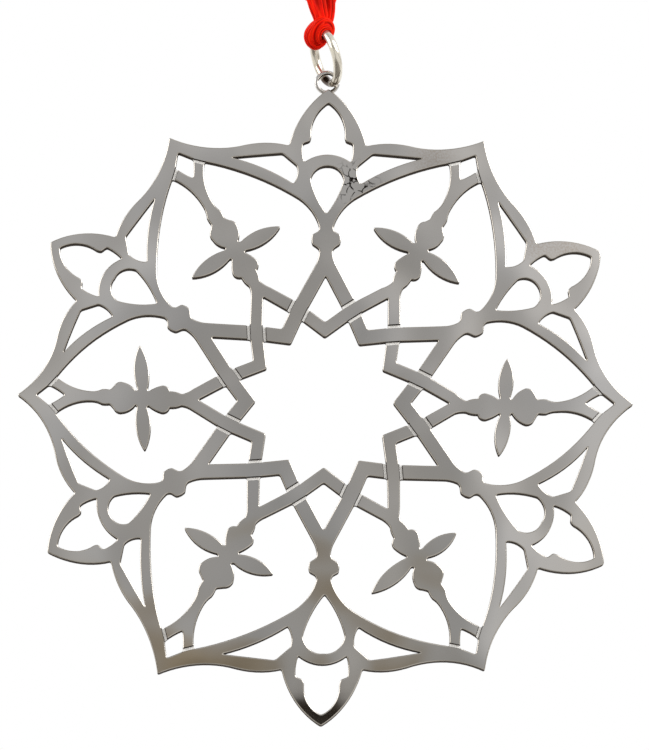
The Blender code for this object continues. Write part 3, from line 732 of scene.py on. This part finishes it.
def pattern_outlines():
    """The plate's outer edge and all of its holes, as closed lists of points."""
    corners = strap_corners()
    edge, rosette, holes = [], [], []
    star_tip = on_axis(HALF_ARM, 0.0, STAR_TIP_RADIUS)
    for arm in range(ARMS):
        turn = arm * 2.0 * HALF_ARM
        rise = (TOP_RISE, TOP_HOLE_RISE) if arm == 0 else (0.0, 0.0)
        right = knots_on(turn, raised(FINIAL_EDGE, rise[0])) + [(spun([star_tip], turn)[0], 0.0)]
        left = backwards(knots_on(turn + 2.0 * HALF_ARM, FINIAL_EDGE, -1.0) + [right[-1]])
        edge += right[:-1] + left[:-1]
        rosette += spun([corners["rosette_finial"], corners["rosette_side"]], turn)
        rosette += spun([corners["rosette_sprig"]], turn)
        rosette += spun([corners["rosette_side"]], turn + 2.0 * HALF_ARM, mirror=True)
        holes += finial_holes(arm, turn, rise[1])
        holes.append(trace(mirrored_loop(turn + HALF_ARM, TIP_DIAMOND)))
        kite = [corners[key] for key in ("finial_kite_tip", "finial_kite_side", "finial_kite_foot")]
        holes.append(spun(kite + spun([kite[1]], 0.0, mirror=True), turn))
        kite = [corners[key] for key in ("sprig_kite_tip", "sprig_kite_side", "sprig_kite_foot")]
        holes.append(spun(kite + spun([kite[1]], 2.0 * HALF_ARM, mirror=True), turn))
        for mirror in (False, True):
            holes.append(spun(trace(knots_on(0.0, SPANDREL)), turn, mirror))
            holes.append(spun(petal_gap(corners, arm, mirror), turn, mirror))
    return [[hand_cut(point) for point in outline] for outline in [trace(edge), rosette] + holes]


def groove_lines():
    """Start and end of each groove's near edge; the groove lies to the left of it."""
    corners = strap_corners()
    kite, petal = corners["finial_kite_side"], corners["petal_foot"]
    sprig_kite, rosette = corners["sprig_kite_side"], corners["rosette_side"]
    sprig_over = [(kite, petal), (sprig_kite, rosette)]
    finial_over = [(rosette, kite), (petal, sprig_kite)]
    lines = []
    for arm in range(ARMS):
        turn = arm * 2.0 * HALF_ARM
        lines += [spun(line, turn) for line in sprig_over]
        lines += [list(reversed(spun(line, turn, mirror=True))) for line in finial_over]
        for side in (-1.0, 1.0):
            outer, inner = (
                on_axis(turn + HALF_ARM, side * offset, radius)
                for offset, radius, _ in (SPRIG_FORK, TIP_DIAMOND[1])
            )
            lines.append((outer, inner) if side > 0.0 else (inner, outer))
    return [[hand_cut(point) for point in line] for line in lines]


def signed_area(outline):
    """Twice the area of an outline, positive where it runs counter-clockwise."""
    return sum(a.x * b.y - a.y * b.x for a, b in zip(outline, outline[1:] + outline[:1]))


# Places of the hanging pieces, in metres


def eye_centre():
    """Middle of the eye's wire circle, above the seat on the plate's top point."""
    seat = FINIAL_EDGE[0][1] + TOP_RISE - EYE_SEAT_DROP
    rise = seat + SEAT_GAP + EYE_NECK_HEIGHT + EYE_OUTER_RADIUS - EYE_WIRE / 2.0
    return Vector((0.0, 0.0, rise - PLATE_DROP)) * MM


def ring_frame():
    """The ring's axes (up its slope, level towards the front, and its normal) as a rotation."""
    level = math.cos(RING_TILT)
    normal = Vector((math.cos(RING_TURN) * level, math.sin(RING_TURN) * level, math.sin(RING_TILT)))
    slope = (Vector((0.0, 0.0, 1.0)) - normal * normal.z).normalized()
    return Matrix((slope, normal.cross(slope), normal)).transposed()


def ring_point(angle, radius=RING_RADIUS):
    """Point at an angle round the ring from its highest point, seen from the ring's centre."""
    return ring_frame() @ Vector((math.cos(angle), math.sin(angle), 0.0)) * radius * MM


def ring_centre():
    """Middle of the ring, which rests in the eye."""
    inside = Vector((RING_IN_EYE[0], 0.0, RING_IN_EYE[1])) * MM
    return eye_centre() + inside - ring_point(RING_EYE_ANGLE)


def hitch_centre():
    """Middle of the band at the top of the hitch, where the strands leave."""
    return ring_centre() + ring_point(HITCH_BAND_ANGLE) + Vector((0.0, 0.0, HITCH_BAND_RISE)) * MM


def strand_points(side):
    """Centreline of one strand, from the hitch's neck up to the knot."""
    front = Vector((0.0, side * (RIBBON_THICKNESS + STRAND_GAP) / 2.0, 0.0)) * MM
    foot = hitch_centre() + Vector((side * STRAND_SPREAD, 0.0, STRAND_LIFT)) * MM + front
    head = Vector((0.0, 0.0, KNOT_RISE - KNOT_HALF_HEIGHT - SEAT_GAP)) * MM + front
    points = []
    for step in range(STRAND_STEPS + 1):
        share = step / STRAND_STEPS
        bow = Vector((side * STRAND_BOW * math.sin(math.pi * share), 0.0, 0.0)) * MM
        points.append(foot.lerp(head, share) + bow)
    return points


# Meshes


def mesh_object(name, net, materials):
    """Turn a bmesh into an object with those materials."""
    bmesh.ops.recalc_face_normals(net, faces=net.faces)
    mesh = bpy.data.meshes.new(name)
    net.to_mesh(mesh)
    net.free()
    for item in materials:
        mesh.materials.append(item)
    piece = bpy.data.objects.new(name, mesh)
    bpy.context.scene.collection.objects.link(piece)
    return piece


def smooth(piece, crease=METAL_CREASE):
    """Shade a piece smooth, with a crease where its faces turn sharply."""
    mesh = piece.data
    mesh.polygons.foreach_set("use_smooth", [True] * len(mesh.polygons))
    mesh.set_sharp_from_angle(angle=crease)
    return piece


def evaluated_mesh(piece):
    """A new mesh of a piece with its modifiers applied."""
    bpy.context.view_layer.update()
    graph = bpy.context.evaluated_depsgraph_get()
    return bpy.data.meshes.new_from_object(piece.evaluated_get(graph))


def boolean(piece, tool, operation, solver):
    """Cut a piece with a tool, or join them, and keep the result as the piece's mesh without the tool."""
    step = piece.modifiers.new("boolean", "BOOLEAN")
    step.object = tool
    step.operation = operation
    step.solver = solver
    step.material_mode = "INDEX"
    mesh = evaluated_mesh(piece)
    piece.modifiers.clear()
    piece.data = mesh
    bpy.data.objects.remove(tool, do_unlink=True)


def sweep(net, path, section, side, closed=False):
    """Loft a cross-section along a path.

    section(share) gives (across, out, fold) for each point of it; side is the way across.
    fold is how deep the point lies in a fold, from 0 to 1, and is kept for the material, which paints shade
    by it.
    """
    count = len(path)
    uv = net.loops.layers.uv.verify()
    fold = net.verts.layers.float.get("fold") or net.verts.layers.float.new("fold")
    rings, run = [], [0.0]
    for index in range(count):
        before = path[index - 1] if closed or index else path[0]
        after = path[(index + 1) % count] if closed or index < count - 1 else path[-1]
        along = (after - before).normalized()
        side = (side - along * side.dot(along)).normalized()
        out = along.cross(side)
        rings.append([])
        for across, rise, depth in section(index / (count if closed else count - 1)):
            rings[-1].append(net.verts.new(path[index] + side * across + out * rise))
            rings[-1][-1][fold] = depth
        run.append(run[-1] + (path[(index + 1) % count] - path[index]).length)
    sides = len(rings[0])
    around = [0.0]
    for a, b in zip(rings[0], rings[0][1:] + rings[0][:1]):
        around.append(around[-1] + (b.co - a.co).length)
    for index in range(count if closed else count - 1):
        one, two = rings[index], rings[(index + 1) % count]
        for k in range(sides):
            face = net.faces.new((one[k], one[(k + 1) % sides], two[(k + 1) % sides], two[k]))
            places = ((k, index), (k + 1, index), (k + 1, index + 1), (k, index + 1))
            for loop, (column, row) in zip(face.loops, places):
                loop[uv].uv = around[column], run[row]
    if not closed:
        net.faces.new(rings[0])
        net.faces.new(rings[-1])


def oval_section(half_width, half_depth, power=1.0):
    """A wire's cross-section: round, oval, or with a power below 1 flattened like a strip."""
    points = []
    for step in range(WIRE_SIDES):
        turn = math.tau * step / WIRE_SIDES
        cosine, sine = math.cos(turn), math.sin(turn)
        points.append((math.copysign(abs(cosine) ** power, cosine) * half_width * MM,
                       math.copysign(abs(sine) ** power, sine) * half_depth * MM, 0.0))
    return points


def ribbon_section(width, thickness, cup):
    """A ribbon's cross-section: a little cupped, with round selvedges and no folds."""
    top, bottom = [], []
    for step in range(SATIN_STEPS + 1):
        s = 2.0 * step / SATIN_STEPS - 1.0
        middle = cup * s * s
        half = thickness / 2.0 * math.sqrt(max(0.0, 1.0 - abs(s) ** SELVEDGE_POWER)) + SELVEDGE_HALF * MM
        top.append((s * width / 2.0, middle + half, 0.0))
        bottom.append((s * width / 2.0, middle - half, 0.0))
    return top + bottom[::-1]


def curve_through(points, steps):
    """A smooth run of points through a few given ones."""
    ends = [points[0] * 2.0 - points[1]] + list(points) + [points[-1] * 2.0 - points[-2]]
    run = []
    for index in range(1, len(ends) - 2):
        p0, p1, p2, p3 = ends[index - 1:index + 3]
        for step in range(steps):
            t = step / steps
            run.append(0.5 * (2.0 * p1 + (p2 - p0) * t + (2.0 * p0 - 5.0 * p1 + 4.0 * p2 - p3) * t * t
                              + (3.0 * p1 - p0 - 3.0 * p2 + p3) * t * t * t))
    return run + [points[-1]]


def groove_cutter(look, finishes):
    """One object with a bar for each groove in the plate's front, bright only in the middle of its floor."""
    net = bmesh.new()
    front = -PLATE_THICKNESS / 2.0
    half = look.groove_width / 2.0
    inner = half - look.groove_rim
    deep = look.groove_depth
    profile = ((-half, -deep), (half, -deep), (half, deep), (inner, deep), (-inner, deep), (-half, deep))
    for start, end in groove_lines():
        along = (end - start).normalized()
        left = Vector((-along.y, along.x))
        centre = (start + end) / 2.0 + left * (GROOVE_LIP + half / MM)
        reach = ((end - start).length / 2.0 + GROOVE_OVERRUN) * MM
        turn = Matrix.Rotation(-math.atan2(along.y, along.x), 4, "Y")
        place = Matrix.Translation(Vector((centre.x, front, centre.y - PLATE_DROP)) * MM) @ turn
        caps = [[net.verts.new(place @ Vector((side * reach, depth, across))) for across, depth in profile]
                for side in (-1.0, 1.0)]
        for cap in caps:
            net.faces.new(cap).material_index = OXIDE
        for index in range(len(profile)):
            after = (index + 1) % len(profile)
            side = net.faces.new((caps[0][index], caps[0][after], caps[1][after], caps[1][index]))
            side.material_index = BRIGHT if index == GROOVE_FLOOR_SIDE else OXIDE
    return mesh_object("groove_cutter", net, finishes)


def pierced_plate(look):
    """The pierced plate with rounded edges, standing in the XZ plane, as a welded mesh."""
    curve = bpy.data.curves.new("pierced_plate", "CURVE")
    curve.dimensions = "2D"
    curve.fill_mode = "BOTH"
    curve.bevel_depth = look.edge_round
    curve.bevel_resolution = EDGE_STEPS
    curve.extrude = PLATE_THICKNESS * MM / 2.0 - look.edge_round
    curve.offset = -look.edge_round
    for index, outline in enumerate(pattern_outlines()):
        outline = worn(outline, look.corner_ease / MM)
        if (signed_area(outline) > 0.0) != (index > 0):
            outline = outline[::-1]
        spline = curve.splines.new("POLY")
        spline.points.add(len(outline) - 1)
        for knot, point in zip(spline.points, outline):
            knot.co = (point.x * MM, point.y * MM, 0.0, 1.0)
        spline.use_cyclic_u = True
    drawing = bpy.data.objects.new("pierced_plate", curve)
    bpy.context.scene.collection.objects.link(drawing)
    mesh = evaluated_mesh(drawing)
    bpy.data.objects.remove(drawing, do_unlink=True)
    net = bmesh.new()
    net.from_mesh(mesh)
    stand = Matrix.Translation((0.0, 0.0, -PLATE_DROP * MM)) @ Matrix.Rotation(math.pi / 2.0, 4, "X")
    bmesh.ops.transform(net, matrix=stand, verts=net.verts)
    bmesh.ops.remove_doubles(net, verts=net.verts, dist=WELD_DISTANCE)
    half = PLATE_THICKNESS * MM / 2.0
    for vert in net.verts:
        sunk = (half - abs(vert.co.y)) * look.edge_depth / look.edge_round
        vert.co.y = math.copysign(half - sunk, vert.co.y)
    bend_bottom_point(net)
    return net


def bend_bottom_point(net):
    """Bend the bottom point a little back, as a fall bends it."""
    start = -(PLATE_DROP + BEND_START) * MM
    reach = start - min(vert.co.z for vert in net.verts)
    for row in range(BEND_ROWS):
        level = start - reach * row / BEND_ROWS
        bmesh.ops.bisect_plane(net, geom=net.verts[:] + net.edges[:] + net.faces[:], dist=WELD_DISTANCE,
                               plane_co=(0.0, 0.0, level), plane_no=(0.0, 0.0, 1.0))
    for vert in net.verts:
        share = max(0.0, start - vert.co.z) / reach
        vert.co.y += BEND_BACK * MM * share * share


def paint_plate(mesh):
    """Give the plate's faces their finish by the way they look: flat, rounded edge or sawn wall."""
    for face in mesh.polygons:
        if face.material_index != FLAT:
            continue
        turned = abs(face.normal.y)
        face.material_index = FLAT if turned > FLAT_TURN else OXIDE if turned < WALL_TURN else EDGE


def keep_flats_flat(mesh):
    """Crease the border of every flat face, so that the rounded edges don't shade into it."""
    flat = [abs(face.normal.y) > FLAT_TURN for face in mesh.polygons]
    sides = {}
    for face in mesh.polygons:
        for key in face.edge_keys:
            sides.setdefault(key, set()).add(flat[face.index])
    for edge in mesh.edges:
        if len(sides[edge.key]) == 2:
            edge.use_edge_sharp = True


def length_property(name, description, size):
    """A property that holds a length, with its default in millimetres."""
    return FloatProperty(name=name, description=description, default=size * MM, unit="LENGTH", precision=5)


def colour_property(name, description, code):
    """A property that holds a colour, with its default as a hex code."""
    return FloatVectorProperty(name=name, description=description, subtype="COLOR", default=linear(code))


class PlateLook(bpy.types.PropertyGroup):
    """Sizes and colours of the plate."""

    edge_round: length_property("Edge round", "Width of the polished round along the edges", 0.16)
    edge_depth: length_property("Edge depth", "Depth of the polished round along the edges", 0.1)
    corner_ease: length_property("Corner ease", "How far the sharp corners are rubbed round", 0.3)
    groove_width: length_property("Groove width", "Width of the grooves that part the straps", 0.56)
    groove_rim: length_property("Groove rim", "Width of the oxide left along each side of a groove", 0.09)
    groove_depth: length_property("Groove depth", "Depth of the grooves that part the straps", 0.35)
    warm_silver: colour_property("Warm silver", "Plating where it is lightly tarnished", "#d2ccc4")
    cool_silver: colour_property("Cool silver", "Plating where it is clean", "#cdcccc")
    edge_silver: colour_property("Edge silver", "Plating on the rubbed edges", "#b4aea5")
    # The groove floors' near white is a painted highlight, where they catch the light
    groove_highlight_white: colour_property("Groove silver", "Fresh metal in the grooves", "#ffffff")
    groove_shade: colour_property("Groove shade", "Chatter marks in the grooves", "#f0ebe2")
    haze_brown: colour_property("Brown haze", "Thin tarnish on the upper right arms", "#a08464")
    oxide: colour_property("Oxide", "Oxide on the sawn walls", "#1f1813")
    oxide_light: colour_property("Thin oxide", "Thinner oxide on the sawn walls", "#4a4037")


class WireLook(bpy.types.PropertyGroup):
    """Colours of the eye and the ring."""

    wire_silver: colour_property("Wire silver", "Bright plating of the wire", "#e9e3d5")
    # Painted shadow: brown-black on the wire where it passes through the eye
    wire_eye_shadow: colour_property("Wire dirt", "Oxide where the wire rubs in the eye", "#4a382b")
    wire_oxide: colour_property("Wire oxide", "Oxide clouds on the wire", "#9a8d7a")


class RibbonLook(bpy.types.PropertyGroup):
    """Size and colours of the ribbon."""

    thickness: length_property("Ribbon thickness", "Thickness of the satin", 0.24)
    satin_red: colour_property("Satin red", "Threads in the light", "#ff2b0c")
    thread_red: colour_property("Thread red", "Gaps between the threads", "#e61204")
    # Deep red is both the colour of the parted streaks and the painted shade in the folds
    streak_and_fold_shade_red: colour_property("Deep red", "Satin deep in the folds", "#8c0000")


class StageLook(bpy.types.PropertyGroup):
    """Light of the studio."""

    key_power: FloatProperty(name="Key light", description="Power of the large lamp at the upper right",
                             default=3.0, unit="POWER")
    fill_power: FloatProperty(name="Fill light", description="Power of the large lamp at the left",
                              default=1.5, unit="POWER")
    paper: colour_property("Paper", "Floor and backdrop", "#f2f1ef")


class ORNAMENT_OT_plate(bpy.types.Operator):
    """Draw the pierced plate with its grooves."""

    bl_idname = "ornament.plate"
    bl_label = "Snowflake Plate"

    def execute(self, context):
        look = context.scene.ornament_plate
        # In the order of FLAT, EDGE, OXIDE and BRIGHT
        makers = (polished_silver_plate, rubbed_silver_edge, oxidised_saw_cut, groove_floor_painted_highlight)
        finishes = [maker(look) for maker in makers]
        plate = mesh_object("silver_snowflake", pierced_plate(look), finishes)
        boolean(plate, groove_cutter(look, finishes), "DIFFERENCE", "MANIFOLD")
        paint_plate(plate.data)
        smooth(plate)
        keep_flats_flat(plate.data)
        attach(plate, "snowflake")
        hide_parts("snowflake_plate")
        return {"FINISHED"}


class ORNAMENT_OT_eye(bpy.types.Operator):
    """Draw the soldered wire eye on the plate's top point."""

    bl_idname = "ornament.eye"
    bl_label = "Hanging Eye"

    def execute(self, context):
        look = context.scene.ornament_plate
        finish = polished_silver_plate(look)
        finish.name = "soldered_silver_eye"
        # The eye's inner faces take the dark oxide colours as a painted dark reflection
        inside = oxidised_saw_cut(look)
        inside.name = "eye_inside_painted_reflection"
        centre = eye_centre()
        mean_radius = (EYE_OUTER_RADIUS - EYE_WIRE / 2.0 + EYE_SPREAD) * MM
        net = bmesh.new()
        turns = [math.tau * step / EYE_STEPS for step in range(EYE_STEPS)]
        circle = [centre + Vector((math.sin(turn), 0.0, math.cos(turn))) * mean_radius for turn in turns]
        section = oval_section(EYE_DEPTH / 2.0, EYE_BAND / 2.0, EYE_SQUARENESS)
        sweep(net, circle, lambda share: section, Vector((0.0, 1.0, 0.0)), closed=True)
        eye = mesh_object("soldered_eye", net, [finish])
        low = centre - Vector((0.0, 0.0, mean_radius + (EYE_NECK_HEIGHT + SEAT_GAP) * MM))
        high = centre - Vector((0.0, 0.0, mean_radius))
        stem = [low.lerp(high, step / EYE_NECK_STEPS) for step in range(EYE_NECK_STEPS + 1)]
        net = bmesh.new()
        sweep(net, stem, neck_section, Vector((1.0, 0.0, 0.0)))
        boolean(eye, mesh_object("eye_neck", net, [finish]), "UNION", "EXACT")
        eye.data.materials.append(inside)
        # Faces inside the eye that look inwards get the painted dark reflection
        for face in eye.data.polygons:
            spoke = face.center - centre
            if spoke.length < mean_radius and spoke.dot(face.normal) < -EYE_INSIDE_TURN * spoke.length:
                face.material_index = 1
        smooth(eye)
        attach(eye, "snowflake")
        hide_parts("hanging_eye")
        return {"FINISHED"}


def neck_section(share):
    """The eye's foot: wide where the solder spreads on the plate, and slim under the wire."""
    spread = (1.0 - share) ** 2
    across, out = SOLDER_SPREAD
    return oval_section(EYE_NECK_HALF_WIDTH + across * spread, EYE_NECK_HALF_DEPTH + out * spread)


class ORNAMENT_OT_ring(bpy.types.Operator):
    """Draw the split jump ring."""

    bl_idname = "ornament.ring"
    bl_label = "Jump Ring"

    def execute(self, context):
        half_split = RING_SPLIT / RING_RADIUS / 2.0
        start = RING_SPLIT_ANGLE + half_split
        turn = math.tau - 2.0 * half_split
        turns = [start + turn * step / RING_STEPS for step in range(RING_STEPS + 1)]
        path = [ring_centre() + ring_point(angle) for angle in turns]
        net = bmesh.new()
        section = oval_section(RING_WIRE / 2.0 * RING_FLATTENING, RING_WIRE / 2.0)
        sweep(net, path, lambda share: section, ring_frame().col[2])
        ring = smooth(mesh_object("split_jump_ring", net, [bright_silver_wire(context.scene.ornament_wire)]))
        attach(ring, "ring")
        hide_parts("jump_ring")
        return {"FINISHED"}


def pleated_section(half_width, half_depth, pleats, share):
    """A gathered ribbon's cross-section: an oval drawn into pleats of uneven height."""
    count, height, slide = pleats
    slide *= share
    points = []
    for step in range(PLEAT_STEPS):
        turn = math.tau * step / PLEAT_STEPS
        cosine, sine = math.cos(turn), math.sin(turn)
        # A second wave of half the height, with fewer pleats, makes the pleats uneven
        swing = (math.cos(count * turn + slide) + 0.5 * math.cos((count - 3) * turn - 2.0 * slide)) / 1.5
        across = math.copysign(abs(cosine) ** PLEAT_SQUARENESS, cosine) * (half_width + height * swing)
        out = math.copysign(abs(sine) ** PLEAT_SQUARENESS, sine) * (half_depth + height * swing)
        # How deep the point lies in a pleat's hollow, for the painted shade
        points.append((across * MM, out * MM, max(0.0, -swing)))
    return points


def hitch_section(share):
    """The turn round the ring: slim at both ends, under the wire, and full over the top and in the lobe."""
    swell = math.sin(math.pi * min(1.0, TURN_FIRST_SHARE + share)) ** 0.5
    half_depth = TURN_HALF_DEPTH + TURN_SWELL * swell + TURN_LOBE * math.sin(math.pi * share)
    return pleated_section(TURN_HALF_WIDTH - TURN_NARROWING * share, half_depth, TURN_PLEATS, share)


def inner_section(share):
    """The inner turn, which lies close round the wire."""
    half_depth = INNER_HALF_DEPTH + INNER_SWELL * math.sin(math.pi * share)
    return pleated_section(INNER_HALF_WIDTH, half_depth, INNER_PLEATS, share)


def cover_section(share):
    """The fold across the front of the turn, broad in its middle."""
    half_width = COVER_HALF_WIDTH + COVER_SWELL * math.sin(math.pi * share)
    return pleated_section(half_width, COVER_HALF_DEPTH, COVER_PLEATS, share)


def neck_fold_section(share):
    """A strand's lower end: gathered where the turn holds it, and opening out above."""
    half_width = NECK_HALF_WIDTH + NECK_OPENING * share
    return pleated_section(half_width, NECK_HALF_DEPTH - NECK_THINNING * share, NECK_PLEATS, share)


class ORNAMENT_OT_hitch(bpy.types.Operator):
    """Fold the ribbon round the ring."""

    bl_idname = "ornament.hitch"
    bl_label = "Ribbon Hitch"

    def execute(self, context):
        satin = red_satin(context.scene.ornament_ribbon)
        net = bmesh.new()
        for angle, points, section, crosses in (
            (HITCH_BAND_ANGLE, HITCH_TURN, hitch_section, False),
            (HITCH_INNER_ANGLE, HITCH_INNER_TURN, inner_section, False),
            (HITCH_BAND_ANGLE, HITCH_COVER, cover_section, True),
        ):
            wire = ring_centre() + ring_point(angle)
            ahead = (ring_frame() @ Vector((-math.sin(angle), math.cos(angle), 0.0))).normalized()
            right = Vector((1.0, 0.0, 0.0))
            right = (right - ahead * right.dot(ahead)).normalized()
            up = ahead.cross(right)
            turn = [wire + (right * a + up * b + ahead * c) * MM for a, b, c in points]
            sweep(net, curve_through(turn, CURVE_STEPS), section, up if crosses else ahead)
        for strand in HITCH_NECKS:
            path = [hitch_centre() + Vector(point) * MM for point in strand]
            sweep(net, curve_through(path, CURVE_STEPS), neck_fold_section, Vector((1.0, 0.0, 0.0)))
        hitch = smooth(mesh_object("ribbon_hitch_folds", net, [satin]), PLEAT_CREASE)
        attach(hitch, "hitch")
        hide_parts("ribbon_hitch")
        return {"FINISHED"}


class ORNAMENT_OT_strands(bpy.types.Operator):
    """Hang the two strands of the ribbon, and tie the end knot with its tails."""

    bl_idname = "ornament.strands"
    bl_label = "Ribbon Strands"

    def execute(self, context):
        look = context.scene.ornament_ribbon
        satin = red_satin(look)
        knot = end_knot(satin, look)
        for side, name in ((-1.0, "ribbon_left_strand"), (1.0, "ribbon_right_strand")):
            path = strand_points(side)
            tuck = Vector((0.0, path[-1].y, (KNOT_RISE - STRAND_TUCK) * MM))
            net = bmesh.new()
            section = ribbon_section(RIBBON_WIDTH * MM, look.thickness, STRAND_CUP * MM)
            sweep(net, path + [tuck], lambda share: section, Vector((1.0, 0.0, 0.0)))
            strand = smooth(mesh_object(name + "_satin", net, [satin]), SATIN_CREASE)
            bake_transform(strand)
            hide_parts(name)
        return {"FINISHED"}


def end_knot(satin, look):
    """An overhand knot above the loop, with its two tails."""
    centre = Vector((0.0, 0.0, KNOT_RISE)) * MM
    net = bmesh.new()
    turns = []
    for step in range(KNOT_STEPS):
        t = math.tau * step / KNOT_STEPS
        across = KNOT_LOOP * (math.sin(t) + 2.0 * math.sin(2.0 * t))
        rise = KNOT_LOOP * (math.cos(t) - 2.0 * math.cos(2.0 * t))
        turns.append(centre + Vector((across, KNOT_DEPTH * -math.sin(3.0 * t), rise)) * MM)
    band = ribbon_section(KNOT_BAND * MM, KNOT_BAND_THICKNESS * MM, KNOT_BAND_CUP * MM)
    sweep(net, turns, lambda share: band, Vector((0.0, 1.0, 0.0)), closed=True)
    tail = ribbon_section(RIBBON_WIDTH * MM, look.thickness, TAIL_CUP * MM)
    for side in (-1.0, 1.0):
        lean = Vector((side * math.sin(TAIL_SPREAD), 0.0, math.cos(TAIL_SPREAD))) * TAIL_LENGTH * MM
        front = Vector((0.0, side * (RIBBON_THICKNESS + STRAND_GAP) / 2.0, 0.0)) * MM
        path = [centre + front + lean * (step / TAIL_STEPS) for step in range(TAIL_STEPS + 1)]
        sweep(net, path, lambda share: tail, Vector((1.0, 0.0, 0.0)))
    knot = smooth(mesh_object("ribbon_end_knot_satin", net, [satin]), SATIN_CREASE)
    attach(knot, "ribbon_loop")
    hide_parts("ribbon_end_knot")
    return knot


class ORNAMENT_OT_stage(bpy.types.Operator):
    """Set the camera, the lamps, the white studio and its floor."""

    bl_idname = "ornament.stage"
    bl_label = "Studio"

    def execute(self, context):
        look = context.scene.ornament_stage
        context.scene.view_settings.view_transform = "Standard"
        camera = bpy.data.cameras.new("camera")
        camera.sensor_fit = "VERTICAL"
        camera.sensor_height = CAMERA_SENSOR
        camera.lens = CAMERA_LENS
        viewer = bpy.data.objects.new("camera", camera)
        viewer.location = Vector(CAMERA_PLACE) * MM
        viewer.rotation_euler = [math.radians(angle) for angle in CAMERA_TURN]
        context.scene.collection.objects.link(viewer)
        context.scene.camera = viewer
        middle = Vector((0.0, 0.0, -PLATE_DROP * MM))
        for name, place, power in (("key", KEY_PLACE, look.key_power), ("fill", FILL_PLACE, look.fill_power)):
            lamp = bpy.data.lights.new(name, "AREA")
            lamp.energy = power
            lamp.size = LAMP_SIZE
            item = bpy.data.objects.new(name, lamp)
            item.location = middle + Vector(place)
            item.rotation_euler = (-Vector(place)).to_track_quat("-Z", "Y").to_euler()
            context.scene.collection.objects.link(item)
        net = bmesh.new()
        bmesh.ops.create_grid(net, x_segments=1, y_segments=1, size=FLOOR_HALF)
        paper, _, shader = new_material("studio_paper", 0.0, 0.9)
        shader.inputs["Base Color"].default_value = opaque(look.paper)
        floor = mesh_object("studio_floor", net, [paper])
        floor.location.z = FLOOR_LEVEL
        floor.visible_glossy = False
        studio_world(context.scene)
        return {"FINISHED"}


def studio_world(scene):
    """White to the camera and behind the metal, with a grey card and a brown table in front of it."""
    world = bpy.data.worlds.new("studio")
    scene.world = world
    world.use_nodes = True
    tree = world.node_tree
    way = node(tree, "ShaderNodeTexCoord").outputs["Generated"]
    parts = node(tree, "ShaderNodeSeparateXYZ", {"Vector": way})
    height = node(tree, "ShaderNodeMapRange", {"Value": parts.outputs["Z"], "From Min": -1.0,
                                               "From Max": 1.0})
    card = node(tree, "ShaderNodeValToRGB", {"Fac": height.outputs["Result"]}, CARD_BY_HEIGHT)
    width = node(tree, "ShaderNodeMapRange", {"Value": parts.outputs["X"], "From Min": -CARD_HALF_WIDTH,
                                              "From Max": CARD_HALF_WIDTH})
    spread = node(tree, "ShaderNodeValToRGB", {"Fac": width.outputs["Result"]}, CARD_BY_WIDTH)
    table = node(tree, "ShaderNodeValToRGB", {"Fac": height.outputs["Result"]}, TABLE_BY_HEIGHT)
    left = node(tree, "ShaderNodeMapRange", {"Value": parts.outputs["X"], "From Min": TABLE_END[0],
                                             "From Max": TABLE_END[1], "To Min": 1.0, "To Max": 0.0})
    laid = node(tree, "ShaderNodeMix", {"Factor": left.outputs["Result"], "A": card.outputs["Color"],
                                        "B": table.outputs["Color"]}, data_type="RGBA", blend_type="DARKEN")
    shaded = node(tree, "ShaderNodeMix", {"Factor": 1.0, "A": laid.outputs["Result"],
                                          "B": spread.outputs["Color"]},
                  data_type="RGBA", blend_type="MULTIPLY")
    behind = node(tree, "ShaderNodeMapRange", {"Value": parts.outputs["Y"], "From Min": 0.0,
                                               "From Max": BACKDROP_FADE})
    rays = node(tree, "ShaderNodeLightPath")
    mirrored = node(tree, "ShaderNodeMath", {0: rays.outputs["Is Glossy Ray"], 1: behind.outputs["Result"]},
                    operation="MULTIPLY")
    through = node(tree, "ShaderNodeMath", {0: rays.outputs["Is Camera Ray"],
                                            1: rays.outputs["Is Transmission Ray"]}, operation="MAXIMUM")
    shown = node(tree, "ShaderNodeMath", {0: mirrored.outputs["Value"], 1: through.outputs["Value"]},
                 operation="MAXIMUM")
    seen = node(tree, "ShaderNodeMix", {"Factor": shown.outputs["Value"], "A": shaded.outputs["Result"],
                                        "B": (1.0, 1.0, 1.0, 1.0)}, data_type="RGBA")
    tree.links.new(seen.outputs["Result"], tree.nodes["Background"].inputs["Color"])


class ORNAMENT_PT_panel(bpy.types.Panel):
    """Lists the ornament's pieces."""

    bl_idname = "ORNAMENT_PT_panel"
    bl_label = "Snowflake Ornament"
    bl_space_type = "VIEW_3D"
    bl_region_type = "UI"
    bl_category = "Ornament"

    def draw(self, context):
        for operator in OPERATORS:
            self.layout.operator(operator.bl_idname)


GROUPS = (
    ("ornament_plate", PlateLook),
    ("ornament_wire", WireLook),
    ("ornament_ribbon", RibbonLook),
    ("ornament_stage", StageLook),
)
OPERATORS = (
    ORNAMENT_OT_plate,
    ORNAMENT_OT_eye,
    ORNAMENT_OT_ring,
    ORNAMENT_OT_hitch,
    ORNAMENT_OT_strands,
    ORNAMENT_OT_stage,
)


def register():
    """Register the property groups, the operators and the panel."""
    for name, group in GROUPS:
        bpy.utils.register_class(group)
        setattr(bpy.types.Scene, name, PointerProperty(type=group))
    for item in OPERATORS + (ORNAMENT_PT_panel,):
        bpy.utils.register_class(item)


def unregister():
    """Undo what register does, in reverse."""
    for item in reversed(OPERATORS + (ORNAMENT_PT_panel,)):
        bpy.utils.unregister_class(item)
    for name, group in reversed(GROUPS):
        delattr(bpy.types.Scene, name)
        bpy.utils.unregister_class(group)


def main():
    """Register, and build every piece."""
    register()
    for operator in OPERATORS:
        group, name = operator.bl_idname.split(".")
        getattr(getattr(bpy.ops, group), name)()


if __name__ == "__main__":
    main()
